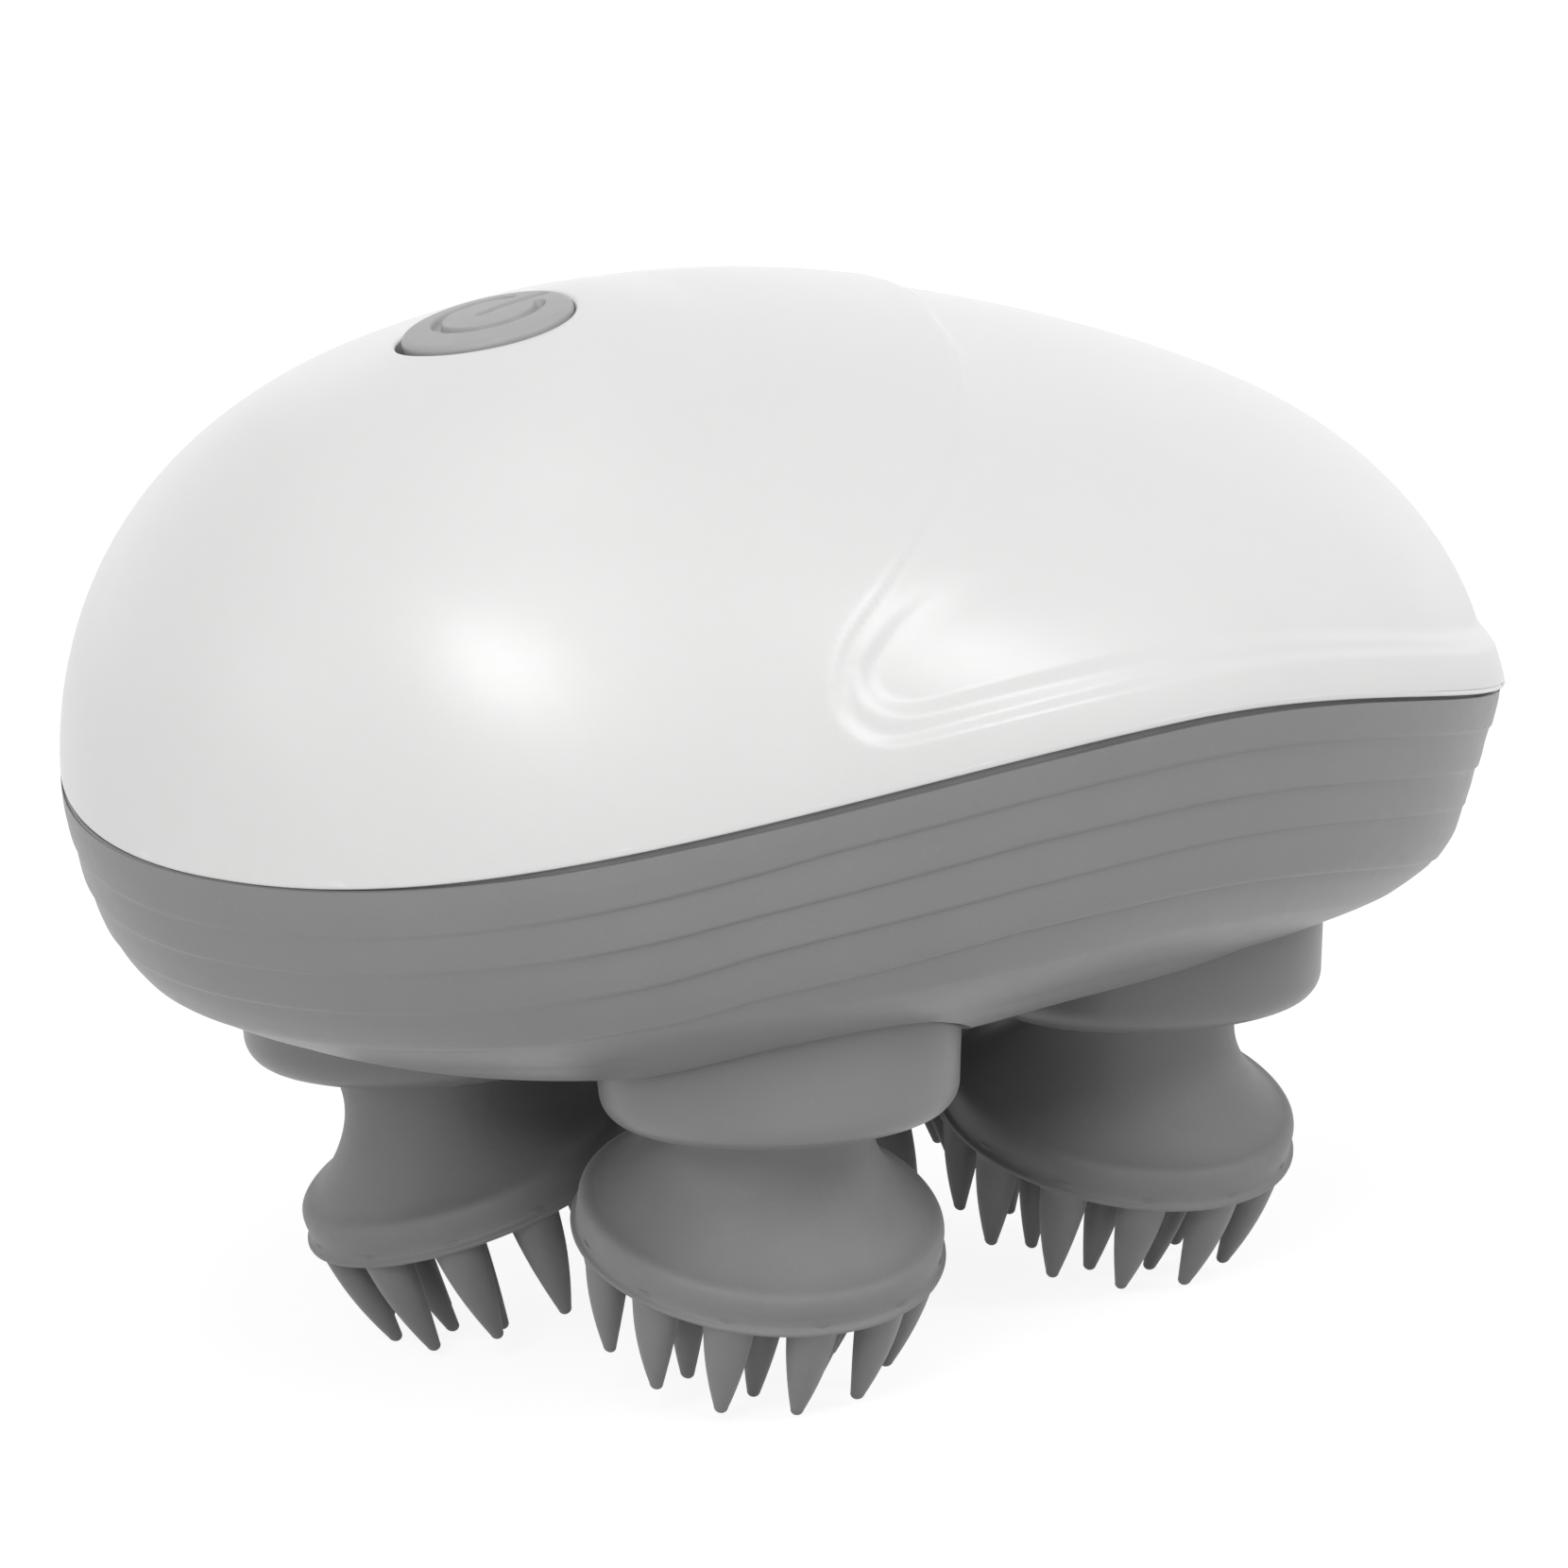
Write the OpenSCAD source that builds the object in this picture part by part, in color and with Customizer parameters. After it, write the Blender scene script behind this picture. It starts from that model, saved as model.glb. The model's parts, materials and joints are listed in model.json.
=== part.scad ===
// Cordless kneading scalp massager: egg-shaped housing, four driven heads, rechargeable.
// +Z up, +X from the nose (button end) to the tail, origin on the floor under the middle.

/* [Body] */
// Length of the housing, nose to tail
body_length = 114; // [110:1:120]
// Width of the housing
body_width = 92; // [90:1:98]
// How square the outline is in plan, 2 is an ellipse
plan_power = 2.1; // [2:0.05:2.4]
// How much wider the tail is than the nose
plan_flare = 0.04; // [0:0.01:0.08]
// Height of the crown over the seam, at mid length
crown_height = 27.6; // [27:0.2:31]
// How much fuller the crown is at the nose than at the tail
crown_lean = 3.5; // [2.5:0.5:5]
// How much fuller the crown is at both ends
crown_ends = 4.5; // [3.5:0.5:6]
// How square the crown is along the body
crown_power = 2.7; // [2.4:0.1:3]
// How square the crown is across the body
section_power = 1.85; // [1.8:0.05:2.2]
// Height of the seam's highest point over the bottoms of the head collars
seam_height = 28.6; // [28.2:0.2:31]
// Where along the body the seam is highest
seam_peak_x = -11; // [-16:1:-6]
// How far the seam falls towards the nose and the tail
seam_drop = 7; // [6:0.5:8]
// Depth of the lower shell below the seam, at the seam's peak
bowl_depth = 25.5; // [25:0.1:26.2]
// How much shallower the lower shell is at the nose and the tail
bowl_rise = 6; // [5:0.5:7]
// How far the lower shell turns in, as a share of the outline
bowl_turn = 0.86; // [0.82:0.01:0.9]
// How square the lower shell is from the seam to the bottom
bowl_power = 2.7; // [2.5:0.1:3]
// Wall of both shells
wall = 2.2; // [1.8:0.1:2.4]
// Gap between the two shells at the seam
seam_gap = 0.7; // [0.5:0.1:1]
// Wall of the ring that seals the seam
gasket_wall = 1; // [0.8:0.1:1.2]

/* [Button] */
// Distance of the power button's middle from the nose
nose_to_button = 27.5; // [25:0.5:30]
// Radius of the power button
button_r = 6.4; // [5.5:0.1:7]
// How far the button travels
button_travel = 0.8; // [0.5:0.1:1]
// How far the middle of the button's face stands over the crown
button_rise = 0.5; // [0.3:0.1:0.6]
// Radius of the flange that keeps the button in
button_flange_r = 7.6; // [7.5:0.1:8.2]
// Thickness of that flange
button_flange = 0.7; // [0.6:0.1:0.9]
// Radius of the button's stem
button_stem_r = 1.8; // [1.5:0.1:2.2]

/* [Heads] */
// Half the distance between the two rows of heads
head_y = 17.2; // [17.2:0.1:17.6]
// Tilt of each head's pin from the upright
head_tilt = 19; // [18:0.2:20]
// Radius of a head's disc at its shoulder
disc_r = 13.2; // [12.5:0.1:13.3]
// Radius of the thin lip under the disc
lip_r = 13.4; // [13.3:0.1:13.5]
// Distance of the disc's shoulder from the pivot point
shoulder_drop = 10.2; // [10:0.1:10.8]
// Height of the disc's rim
rim_height = 2.9; // [2.5:0.1:3.2]
// Radius of a head's neck
neck_r = 7; // [6.8:0.1:7.2]
// Reach of the outer claws from the pivot point to the centres of their tips
claw_reach = 21.4; // [20.5:0.1:22]
// Radius of a claw at its root
claw_root_r = 1.7; // [1.5:0.05:1.8]
// Radius of a claw at its tip
claw_tip_r = 0.5; // [0.4:0.05:0.6]
// Radius of the circle of the outer claws at their roots
claw_root_ring = 11.4; // [11:0.1:11.6]
// Radius of the circle of the outer claws at their tips
claw_tip_ring = 10; // [9.4:0.1:10.4]
// How many claws the outer ring has
outer_claws = 12; // [10:1:13]
// How many claws the inner ring has
inner_claws = 8; // [6:1:9]
// Radius of the circle of the inner claws
inner_ring = 6.4; // [6:0.1:6.8]
// How much shorter the inner claws are
inner_short = 0.9; // [0.6:0.1:1.4]

/* [Collars] */
// Radius of a collar at its lower edge
collar_r = 12.7; // [12.4:0.1:12.9]
// How much wider a collar is at its top
collar_draft = 0.5; // [0.3:0.1:0.6]
// Radius of the collar's rounded lower edge
collar_round = 2.3; // [1.8:0.1:2.6]
// Height of a collar
collar_height = 10; // [9.8:0.1:10.4]
// Height of the pivot point over the collar's lower face
pivot_height = 2.5; // [2.3:0.1:2.7]
// Radial gap between a collar and its well in the lower shell
collar_gap = 0.4; // [0.3:0.1:0.6]
// Wall of a well
well_wall = 1.6; // [1.4:0.1:1.8]
// Gap between a collar's top and the roof of its well
roof_gap = 0.4; // [0.3:0.1:0.6]
// Thickness of the roof of a well
well_roof = 2; // [1.8:0.1:2.2]

/* [Pins and hubs] */
// Radius of the tilted pin that carries a head
pin_r = 2; // [1.8:0.1:2.2]
// Radial clearance of a turning fit
run_gap = 0.05; // [0.03:0.01:0.08]
// How deep the tilted pin sits in its collar, over the pivot point
pin_grip = 3.4; // [3:0.1:3.5]
// Radius of the pin's round head
pin_head_r = 3.4; // [3:0.1:3.8]
// Thickness of the pin's round head
pin_head = 1.4; // [1.2:0.1:1.6]
// Radius of a head's hard hub
hub_r = 5; // [4.8:0.1:5.2]
// Length of the hub along its pin
hub_length = 8; // [7.6:0.1:8.4]
// Radius of the hub's flange
hub_flange_r = 10.4; // [9.5:0.1:10.8]
// Thickness of the hub's flange
hub_flange = 1.4; // [1.2:0.1:1.6]
// Gap between the hub and the collar's pocket floor
hub_gap = 0.2; // [0.15:0.05:0.3]

/* [Gears] */
// Teeth of the large gear of each drive gear
drive_teeth = 43; // [42:1:45]
// Teeth of the small gear of each drive gear
small_teeth = 18; // [17:1:19]
// Teeth of each output gear
output_teeth = 34; // [33:1:35]
// Teeth of the motor pinion
pinion_teeth = 12; // [12:1:13]
// Width of the output gears
output_face = 4.5; // [4:0.1:5]
// Width of the large drive gears
drive_face = 3.8; // [3.4:0.1:4]
// Play between meshed teeth, along the pitch circle
backlash = 0.22; // [0.16:0.02:0.3]
// Radius of an output shaft
shaft_r = 2.5; // [2.3:0.1:2.6]
// Radius of an output shaft's upper journal
journal_r = 1.8; // [1.6:0.1:1.9]
// Outer radius of a shaft bush
bush_r = 4; // [3.8:0.1:4.4]
// Radius of a drive gear's axle
axle_r = 1.5; // [1.3:0.1:1.7]
// Gap above and below each gear layer
layer_gap = 0.5; // [0.4:0.1:0.7]
// Thickness of the gearbox cover
cover_plate = 2; // [1.8:0.1:2.4]

/* [Power] */
// Radius of the motor and its gearhead
motor_r = 11; // [10:0.1:11.2]
// Length of the motor's reduction gearhead
gearhead_length = 8.5; // [8:0.5:9]
// Length of the motor can
motor_length = 12.5; // [11:0.5:12.5]
// How far to the tail the motor's axis lies from the drive gear's axis
motor_x = 15.5; // [15.2:0.1:15.8]
// Radius of the motor shaft
motor_shaft_r = 1.5; // [1.3:0.1:1.6]
// Radius of the rechargeable cell
cell_r = 9; // [8.5:0.1:9.2]
// Length of the rechargeable cell
cell_length = 50; // [46:1:50]
// Where along the body the cell lies
cell_x = -17.4; // [-18:0.1:-17]
// How far the middle of the charging port is under the highest point of the seam
port_drop = 12.6; // [12:0.1:13.2]
// Width of the charging port's opening in the shell
port_width = 12; // [11:0.5:13]
// Height of the charging port's opening in the shell
port_height = 6.4; // [6:0.1:7]
// Width of the charging socket
socket_width = 9; // [8.6:0.1:9.2]
// Height of the charging socket
socket_height = 3.2; // [3:0.1:3.4]
// Length of the charging socket
socket_length = 7.4; // [7:0.1:8]

/* [Hidden] */
$fn = 64;
e = 0.01; // overlap that makes a cut clean

white = [0.93, 0.93, 0.93];
grey = [0.58, 0.58, 0.58];
dark_grey = [0.45, 0.45, 0.45];
steel = [0.75, 0.76, 0.78];
nylon = [0.9, 0.88, 0.82];

// Gears: the module follows from the spacing of the two rows of heads.
gear_module = 2 * head_y / drive_teeth;
head_x = gear_module * (small_teeth + output_teeth) / 2;
pressure_angle = 20;
addendum = 0.9;
dedendum = 1.2;
motor_reach = gear_module * (drive_teeth + pinion_teeth) / 2;
motor_y = -head_y + sqrt(motor_reach * motor_reach - motor_x * motor_x);
motor_dir = atan2(motor_y + head_y, motor_x);

// Heights, all stacked on the lowest claw tip, which stands on the floor.
claw_root = shoulder_drop + rim_height;
claw_lean = atan((claw_root_ring - claw_tip_ring) / (claw_reach - claw_root));
pivot_z = claw_reach * cos(head_tilt) + claw_tip_ring * sin(head_tilt)
  + claw_tip_r * sin(head_tilt + claw_lean);
collar_z = pivot_z - pivot_height;
collar_top = collar_z + collar_height;
roof_z = collar_top + roof_gap;
roof_top = roof_z + well_roof;
output_z = roof_top + 2 * layer_gap;
drive_z = output_z + output_face + layer_gap;
cover_z = drive_z + drive_face + 2 * layer_gap;
cover_top = cover_z + cover_plate;
seam_z = collar_z + seam_height;
port_z = seam_z - port_drop;
well_r = collar_r + collar_draft + collar_gap;

// Heads: position and lean direction of each, in the order used by the node names.
FRONT_RIGHT = [-head_x, -head_y, 68];
FRONT_LEFT = [-head_x, head_y, -28];
REAR_RIGHT = [head_x, -head_y, 80];
REAR_LEFT = [head_x, head_y, -40];
HEADS = [FRONT_RIGHT, FRONT_LEFT, REAR_RIGHT, REAR_LEFT];

// Housing surface. Every shell is this surface with a smaller length, width and height.
rows = 12;  // rows of points from the seam to the middle of a shell
around = 60; // points around the outline

function signed_power(v, p) = sign(v) * pow(abs(v), p);
function plan_x(a, inset) = (body_length / 2 - inset) * signed_power(cos(a), 2 / plan_power);
function plan_y(a, inset) = (body_width / 2 - inset) * signed_power(sin(a), 2 / plan_power)
  * (1 + plan_flare * plan_x(a, inset) / (body_length / 2));
function along(x) = x < seam_peak_x
  ? (seam_peak_x - x) / (seam_peak_x + body_length / 2)
  : (x - seam_peak_x) / (body_length / 2 - seam_peak_x);
function seam_at(x) = let (u = min(along(x), 1)) seam_z
  - seam_drop * (x < seam_peak_x ? u * u : 3 * u * u - 2 * u * u * u);
// The edges of the two shells, half the gap above and below the seam.
function rim_up(x) = seam_at(x) + seam_gap / 2;
function rim_down(x) = seam_at(x) - seam_gap / 2;
function lame(u, p) = pow(max(0, 1 - pow(min(abs(u), 1), p)), 1 / p);
function half_width(x, inset) = let (s = (body_length / 2 - inset)) (body_width / 2 - inset)
  * lame(x / s, plan_power) * (1 + plan_flare * x / (body_length / 2));
function crown_rise(x, inset) = let (u = x / (body_length / 2))
  (crown_height - inset - crown_lean * u + crown_ends * u * u)
  * lame(x / (body_length / 2 - inset), crown_power);
function crown_at(x, y, inset = 0) = seam_at(x) + crown_rise(x, inset)
  * lame(y / max(half_width(x, inset), e), section_power);
function bowl_at(x, t, inset) = let (u = min(along(x), 1))
  seam_at(x) - t * (bowl_depth - bowl_rise * u * u - inset);
function bowl_share(t) = 1 - bowl_turn * (1 - lame(t, bowl_power));

// One ring of points at share s of the outline.
function ring(s, inset, height) = [
  for (i = [0:around - 1])
    let (a = 360 * i / around, x = s * plan_x(a, inset), y = s * plan_y(a, inset)) [x, y, height(x, y)]
];
function crown_rings(inset) = [
  for (j = [0:rows - 1]) let (s = cos(90 * j / rows))
    ring(s, inset, function(x, y) j == 0 ? rim_up(x) : max(rim_up(x), crown_at(x, y, inset)))
];
function bowl_rings(inset) = [
  for (j = [0:rows]) let (t = sin(90 * j / rows))
    ring(bowl_share(t), inset, function(x, y) j == 0 ? rim_down(x) : bowl_at(x, t, inset) - seam_gap / 2)
];
function band(from) = [
  for (i = [0:around - 1]) let (k = (i + 1) % around, up = from + around)
    each [[from + i, from + k, up + k], [from + i, up + k, up + i]]
];
function flip(faces) = [for (f = faces) [for (i = [len(f) - 1:-1:0]) f[i]]];
function flat(lists) = [for (l = lists) for (v = l) v];

// A closed solid from the seam down to the middle, through the rings and an end point.
module dome(rings, tip) {
  n = len(rings);
  sides = flat([for (j = [0:n - 2]) band(j * around)]);
  cap = [for (i = [0:around - 1]) [(n - 1) * around + i, (n - 1) * around + (i + 1) % around, n * around]];
  base = [for (i = [0:around - 1]) [(i + 1) % around, i, n * around + 1]];
  faces = concat(sides, cap, base);
  first = rings[0];
  centre = [0, 0, (first[0][2] + first[around / 2][2]) / 2];
  polyhedron(concat(flat(rings), [tip, centre]), faces, 2);
}
module bowl_solid(inset) {
  rings = bowl_rings(inset);
  dome(rings, bowl_tip(inset));
}
function bowl_tip(inset) = [0, 0, min([for (p = bowl_rings(inset)[rows]) p[2]])];
// A shell's skin: outer rings, a rim along the seam and inner rings, as one closed surface.
module skin(outer, inner, tip_out, tip_in, up) {
  n = len(outer);
  points = concat(flat(outer), flat(inner), [tip_out, tip_in]);
  off = n * around;
  last = off - around;
  out_sides = flat([for (j = [0:n - 2]) band(j * around)]);
  in_sides = flat([for (j = [0:n - 2]) band(off + j * around)]);
  out_cap = [for (i = [0:around - 1]) [last + i, last + (i + 1) % around, 2 * off]];
  in_cap = [for (i = [0:around - 1]) [off + last + i, off + last + (i + 1) % around, 2 * off + 1]];
  rim = [
    for (i = [0:around - 1]) let (k = (i + 1) % around) each [[i, off + i, off + k], [i, off + k, k]]
  ];
  faces = concat(out_sides, out_cap, flip(in_sides), flip(in_cap), rim);
  polyhedron(points, up ? flip(faces) : faces, 2);
}

// Involute gear outline with a tooth centred at angle turn.
function involute(a) = tan(a) * 180 / PI - a;
function tooth_half(teeth, r) = let (
    pitch = gear_module * teeth / 2,
    base = pitch * cos(pressure_angle),
    at = acos(min(1, base / max(r, base)))
  ) 90 / teeth - backlash / 4 / pitch * 180 / PI + involute(pressure_angle) - involute(at);
function gear_points(teeth, turn) = let (
    pitch = gear_module * teeth / 2,
    root = pitch - dedendum * gear_module,
    tip = pitch + addendum * gear_module,
    low = max(root, pitch * cos(pressure_angle))
  ) [
    for (i = [0:teeth - 1]) let (c = turn + 360 * i / teeth) each [
      root * [cos(c - tooth_half(teeth, low)), sin(c - tooth_half(teeth, low))],
      for (j = [0:3])
        let (r = low + (tip - low) * j / 3, h = c - tooth_half(teeth, r)) r * [cos(h), sin(h)],
      for (j = [3:-1:0])
        let (r = low + (tip - low) * j / 3, h = c + tooth_half(teeth, r)) r * [cos(h), sin(h)],
      root * [cos(c + tooth_half(teeth, low)), sin(c + tooth_half(teeth, low))]
    ]
  ];
module gear(teeth, face, turn) {
  linear_extrude(face) polygon(gear_points(teeth, turn));
}
// Angle of a tooth of a gear that meshes, in direction dir, with a gear that has a tooth at turn.
function meshed(turn, teeth, dir, own_teeth) = let (steps = (dir - turn) / (360 / teeth))
  dir + 180 - (0.5 - (steps - floor(steps))) * 360 / own_teeth;

right_turn = 90;
left_turn = meshed(right_turn, drive_teeth, 90, drive_teeth);

// The power button stands square to the crown.
button_x = nose_to_button - body_length / 2;
button_z = crown_at(button_x, 0);
button_slope = atan((crown_at(button_x + 1, 0) - crown_at(button_x - 1, 0)) / 2);
button_gap = 0.3; // radial gap around the button
module button_frame() {
  translate([button_x, 0, button_z]) rotate([0, -button_slope, 0]) children();
}
// How far the crown lies under the button's tangent plane, at a point of that plane.
function crown_drop(x, y) = button_z + x * tan(button_slope) - crown_at(button_x + x, y);
flange_gap = 0.15; // between the flange and the inside of the crown
flange_top = wall + max(crown_drop(0, button_flange_r), crown_drop(button_flange_r, 0)) + flange_gap;
stem_end = flange_top + button_flange + 0.3;
switch_height = 4.3;
switch_body = 3.4;
switch_width = 6;
switch_gap = 0.1; // between the pressed stem and the switch
board_top = stem_end + button_travel + switch_gap + switch_height;
board_size = [26, 22, 1.2];
BOARD_HOLES = [for (x = [-10.5, 10.5], y = [-8.5, 8.5]) [x, y]];
boss_r = 2.2;
small_screw_r = 0.8;

// Places around the inside of the seam, square to the outline.
function outline_dir(a) = let (
    dx = plan_x(a + 1, wall) - plan_x(a - 1, wall),
    dy = plan_y(a + 1, wall) - plan_y(a - 1, wall)
  ) atan2(dy, dx);
HOOKS = [28, 62, 118, 152, 208, 242, 298, 332]; // angles of the snap hooks around the outline
hook_width = 6;
hook_wall = 1.2;
hook_reach = 4.5; // how far a hook hangs under the seam
hook_root = 2.5; // height of the block that joins a hook to the wall
hook_gap = 0.5; // between a hook's tooth and the lower shell's wall
hook_play = 0.2; // between a hook and its ledge
tooth_size = 0.7;
tooth_height = 1;
hook_y = hook_gap + tooth_size; // inner side of the tooth
module at_rim(a) {
  translate([plan_x(a, wall), plan_y(a, wall), seam_at(plan_x(a, wall))]) rotate(outline_dir(a)) children();
}

// The tilted frame of a head: the pivot point is the origin and the head hangs along -Z.
module head_frame(head) {
  translate([head[0], head[1], pivot_z]) rotate([0, 0, head[2]]) rotate([0, -head_tilt, 0]) children();
}

// Posts of the gearbox cover and of the charging board.
post_r = 3;
gear_gap = 1.05; // between a post and the tips of the nearest gear's teeth
post_x = head_x + 12.4;
post_y = body_width / 2 - 6.8;
// In a narrow body the two side posts move along it, round the drive gears.
post_reach = gear_module * (drive_teeth / 2 + addendum) + gear_gap + post_r;
post_shift = sqrt(max(0, post_reach * post_reach - (post_y - head_y) * (post_y - head_y)));
POSTS = [[post_x, 0], [-post_x, 0], [post_shift, post_y], [-post_shift, -post_y]];
screw_r = 1.2;
screw_head_r = 2.2;
screw_head = 1.3;
screw_length = 8;
shaft_low = pivot_z + pin_grip * cos(head_tilt) + pin_r * sin(head_tilt) + 0.4;
seal_r = 5;
seal_height = 0.9;
bush_flange_r = 5;
bush_top = output_z - 0.15;
axle_low = roof_z - 4;

// Charging port in the tail of the lower shell.
port_t = (seam_at(body_length / 2) - port_z) / (bowl_depth - bowl_rise);
port_x = body_length / 2 * bowl_share(port_t);
socket_face = port_x - wall - 0.5;
socket_wall = 0.35;
charging_board_size = [11.5, 12, 1.2];
charging_board_z = port_z - socket_height / 2 - charging_board_size[2];
charging_post_x = socket_face - 9.5;
charging_post_y = 4;
charging_post_r = 1.8;

module upper_shell() {
  color(white) difference() {
    union() {
      skin(crown_rings(0), crown_rings(wall), [0, 0, crown_at(0, 0)], [0, 0, crown_at(0, 0, wall)], true);
      button_frame() for (p = BOARD_HOLES) board_boss(p[0], p[1]);
      for (a = HOOKS) at_rim(a) snap_hook();
    }
    button_frame() {
      translate([0, 0, -wall * 3]) cylinder(r = button_r + button_gap, h = wall * 6);
      for (p = BOARD_HOLES) translate([p[0], p[1], -board_top - e]) cylinder(r = small_screw_r, h = 4);
    }
  }
}
module board_boss(x, y) {
  sunk = crown_drop(x, y) + wall / 2;
  translate([x, y, -board_top]) cylinder(r = boss_r, h = board_top - sunk);
}
// Hangs from the upper shell's wall and catches under a ledge of the lower shell. +Y points inwards.
module snap_hook() {
  translate([-hook_width / 2, -wall / 2, seam_gap])
    cube([hook_width, wall / 2 + hook_y + hook_wall, hook_root]);
  translate([-hook_width / 2, hook_y, -hook_reach]) cube([hook_width, hook_wall, hook_reach + seam_gap + e]);
  translate([-hook_width / 2, hook_gap, -hook_reach]) cube([hook_width, tooth_size + e, tooth_height]);
}
module catch_ledge() {
  translate([-hook_width / 2 - 1, -wall / 2, -hook_reach + tooth_height + hook_play])
    cube([hook_width + 2, wall / 2 + hook_y - hook_play, 1.2]);
}

module lower_shell() {
  color(grey) difference() {
    union() {
      skin(bowl_rings(0), bowl_rings(wall), bowl_tip(0), bowl_tip(wall), false);
      intersection() {
        bowl_solid(wall / 2);
        union() {
          for (h = HEADS) translate([h[0], h[1], 0]) cylinder(r = well_r + well_wall, h = roof_top);
          for (p = POSTS) translate([p[0], p[1], 0]) cylinder(r = post_r, h = cover_z);
          for (y = [-head_y, head_y]) translate([0, y, 0]) cylinder(r = post_r, h = bush_top);
          for (y = [-charging_post_y, charging_post_y]) translate([charging_post_x, y, 0])
            cylinder(r = charging_post_r, h = charging_board_z);
        }
      }
      for (a = HOOKS) at_rim(a) catch_ledge();
    }
    for (h = HEADS) translate([h[0], h[1], 0]) {
      cylinder(r = well_r, h = roof_z);
      cylinder(r = seal_r, h = roof_z + seal_height);
      cylinder(r = bush_r, h = roof_top + 1);
    }
    for (p = POSTS) translate([p[0], p[1], cover_top - screw_length]) cylinder(r = screw_r, h = screw_length);
    for (y = [-head_y, head_y]) translate([0, y, axle_low]) cylinder(r = axle_r, h = cover_z);
    translate([port_x - 2 * wall, -port_width / 2, port_z - port_height / 2])
      cube([4 * wall, port_width, port_height]);
  }
}

// Ring between the shells, a little inside their outer faces.
gasket_inset = 0.6;
module seam_gasket() {
  color([0.2, 0.2, 0.2]) {
    deep = gasket_inset + gasket_wall;
    up = function(x, y) rim_up(x);
    down = function(x, y) rim_down(x);
    loops = [ring(1, gasket_inset, down), ring(1, gasket_inset, up), ring(1, deep, up), ring(1, deep, down)];
    faces = flat([
      for (j = [0:3]) [
        for (i = [0:around - 1]) let (k = (i + 1) % around, a = j * around, b = (j + 1) % 4 * around)
          each [[a + i, b + k, a + k], [a + i, b + i, b + k]]
      ]
    ]);
    polyhedron(flat(loops), faces, 2);
  }
}

cover_margin = 7; // from the shafts' axes to the edge of the cover
arm_width = 8;
module gearbox_cover() {
  color(nylon) difference() {
    translate([0, 0, cover_z]) linear_extrude(cover_plate) {
      square([2 * head_x + 2 * cover_margin, 2 * head_y + 2 * cover_margin], center = true);
      square([2 * post_x, arm_width], center = true);
      for (s = [-1, 1])
        translate([s * post_shift, s * post_y / 2]) square([arm_width, post_y], center = true);
      for (p = POSTS) translate(p) circle(r = post_r + 0.4);
    }
    for (h = HEADS) translate([h[0], h[1], cover_z - e])
      cylinder(r = journal_r + run_gap, h = cover_plate + 1);
    for (y = [-head_y, head_y]) translate([0, y, cover_z - e]) cylinder(r = axle_r, h = cover_plate + 1);
    for (p = POSTS) translate([p[0], p[1], cover_z - e]) cylinder(r = screw_r, h = cover_plate + 1);
    translate([motor_x, motor_y, cover_z - e]) cylinder(r = gearhead_boss_r, h = cover_plate + 1);
    for (p = MOTOR_HOLES) translate([p[0], p[1], cover_z - e]) cylinder(r = screw_r, h = cover_plate + 1);
  }
}
gearhead_boss_r = 3.5;
motor_hole_ring = 7.5;
MOTOR_HOLES = [
  for (a = [motor_dir + 90, motor_dir - 90]) [motor_x, motor_y] + motor_hole_ring * [cos(a), sin(a)]
];

// Round-headed screw standing on its head's seat, pointing down.
module screw(r, head_r, head, length) {
  cylinder(r = head_r, h = head);
  translate([0, 0, -length]) cylinder(r = r, h = length + e);
}
module cover_screws() {
  color(steel) for (p = POSTS) translate([p[0], p[1], cover_top])
    screw(screw_r, screw_head_r, screw_head, screw_length - 0.5);
}
module drive_axles() {
  color(steel) for (y = [-head_y, head_y]) translate([0, y, axle_low])
    cylinder(r = axle_r, h = cover_top - axle_low);
}
module shaft_bushes() {
  color([0.72, 0.55, 0.3]) for (h = HEADS) translate([h[0], h[1], 0]) difference() {
    union() {
      translate([0, 0, roof_z + seal_height]) cylinder(r = bush_r, h = bush_top - roof_z - seal_height);
      translate([0, 0, roof_top]) cylinder(r = bush_flange_r, h = bush_top - roof_top);
    }
    cylinder(r = shaft_r + run_gap, h = cover_z);
  }
}
module shaft_seals() {
  color([0.15, 0.15, 0.15]) for (h = HEADS) translate([h[0], h[1], roof_z]) difference() {
    cylinder(r = seal_r, h = seal_height);
    translate([0, 0, -e]) cylinder(r = shaft_r + run_gap, h = seal_height + 2 * e);
  }
}

module motor_gearhead() {
  color(steel) translate([motor_x, motor_y, cover_top]) difference() {
    union() {
      cylinder(r = motor_r, h = gearhead_length);
      translate([0, 0, -cover_plate + 0.2]) cylinder(r = gearhead_boss_r, h = cover_plate);
    }
    translate([0, 0, -cover_plate])
      cylinder(r = motor_shaft_r + run_gap, h = cover_plate + gearhead_length - 1);
    translate([-motor_x, -motor_y, -e]) for (p = MOTOR_HOLES) translate(p) cylinder(r = screw_r, h = 4);
  }
}
terminal_y = 5;
terminal_height = 1.4;
module drive_motor() {
  top = cover_top + gearhead_length;
  color([0.66, 0.67, 0.69]) translate([motor_x, motor_y, top]) {
    cylinder(r = motor_r - 0.4, h = motor_length);
    translate([0, 0, motor_length]) cylinder(r = 3, h = 0.8);
    for (y = [-terminal_y, terminal_y]) translate([-1, y - 0.3, motor_length - e])
      cube([2, 0.6, terminal_height + e]);
  }
}
module motor_screws() {
  color(steel) for (p = MOTOR_HOLES) translate([p[0], p[1], cover_z]) mirror([0, 0, 1])
    screw(screw_r, screw_head_r, layer_gap * 2 - 0.15, cover_plate + 3);
}
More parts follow.
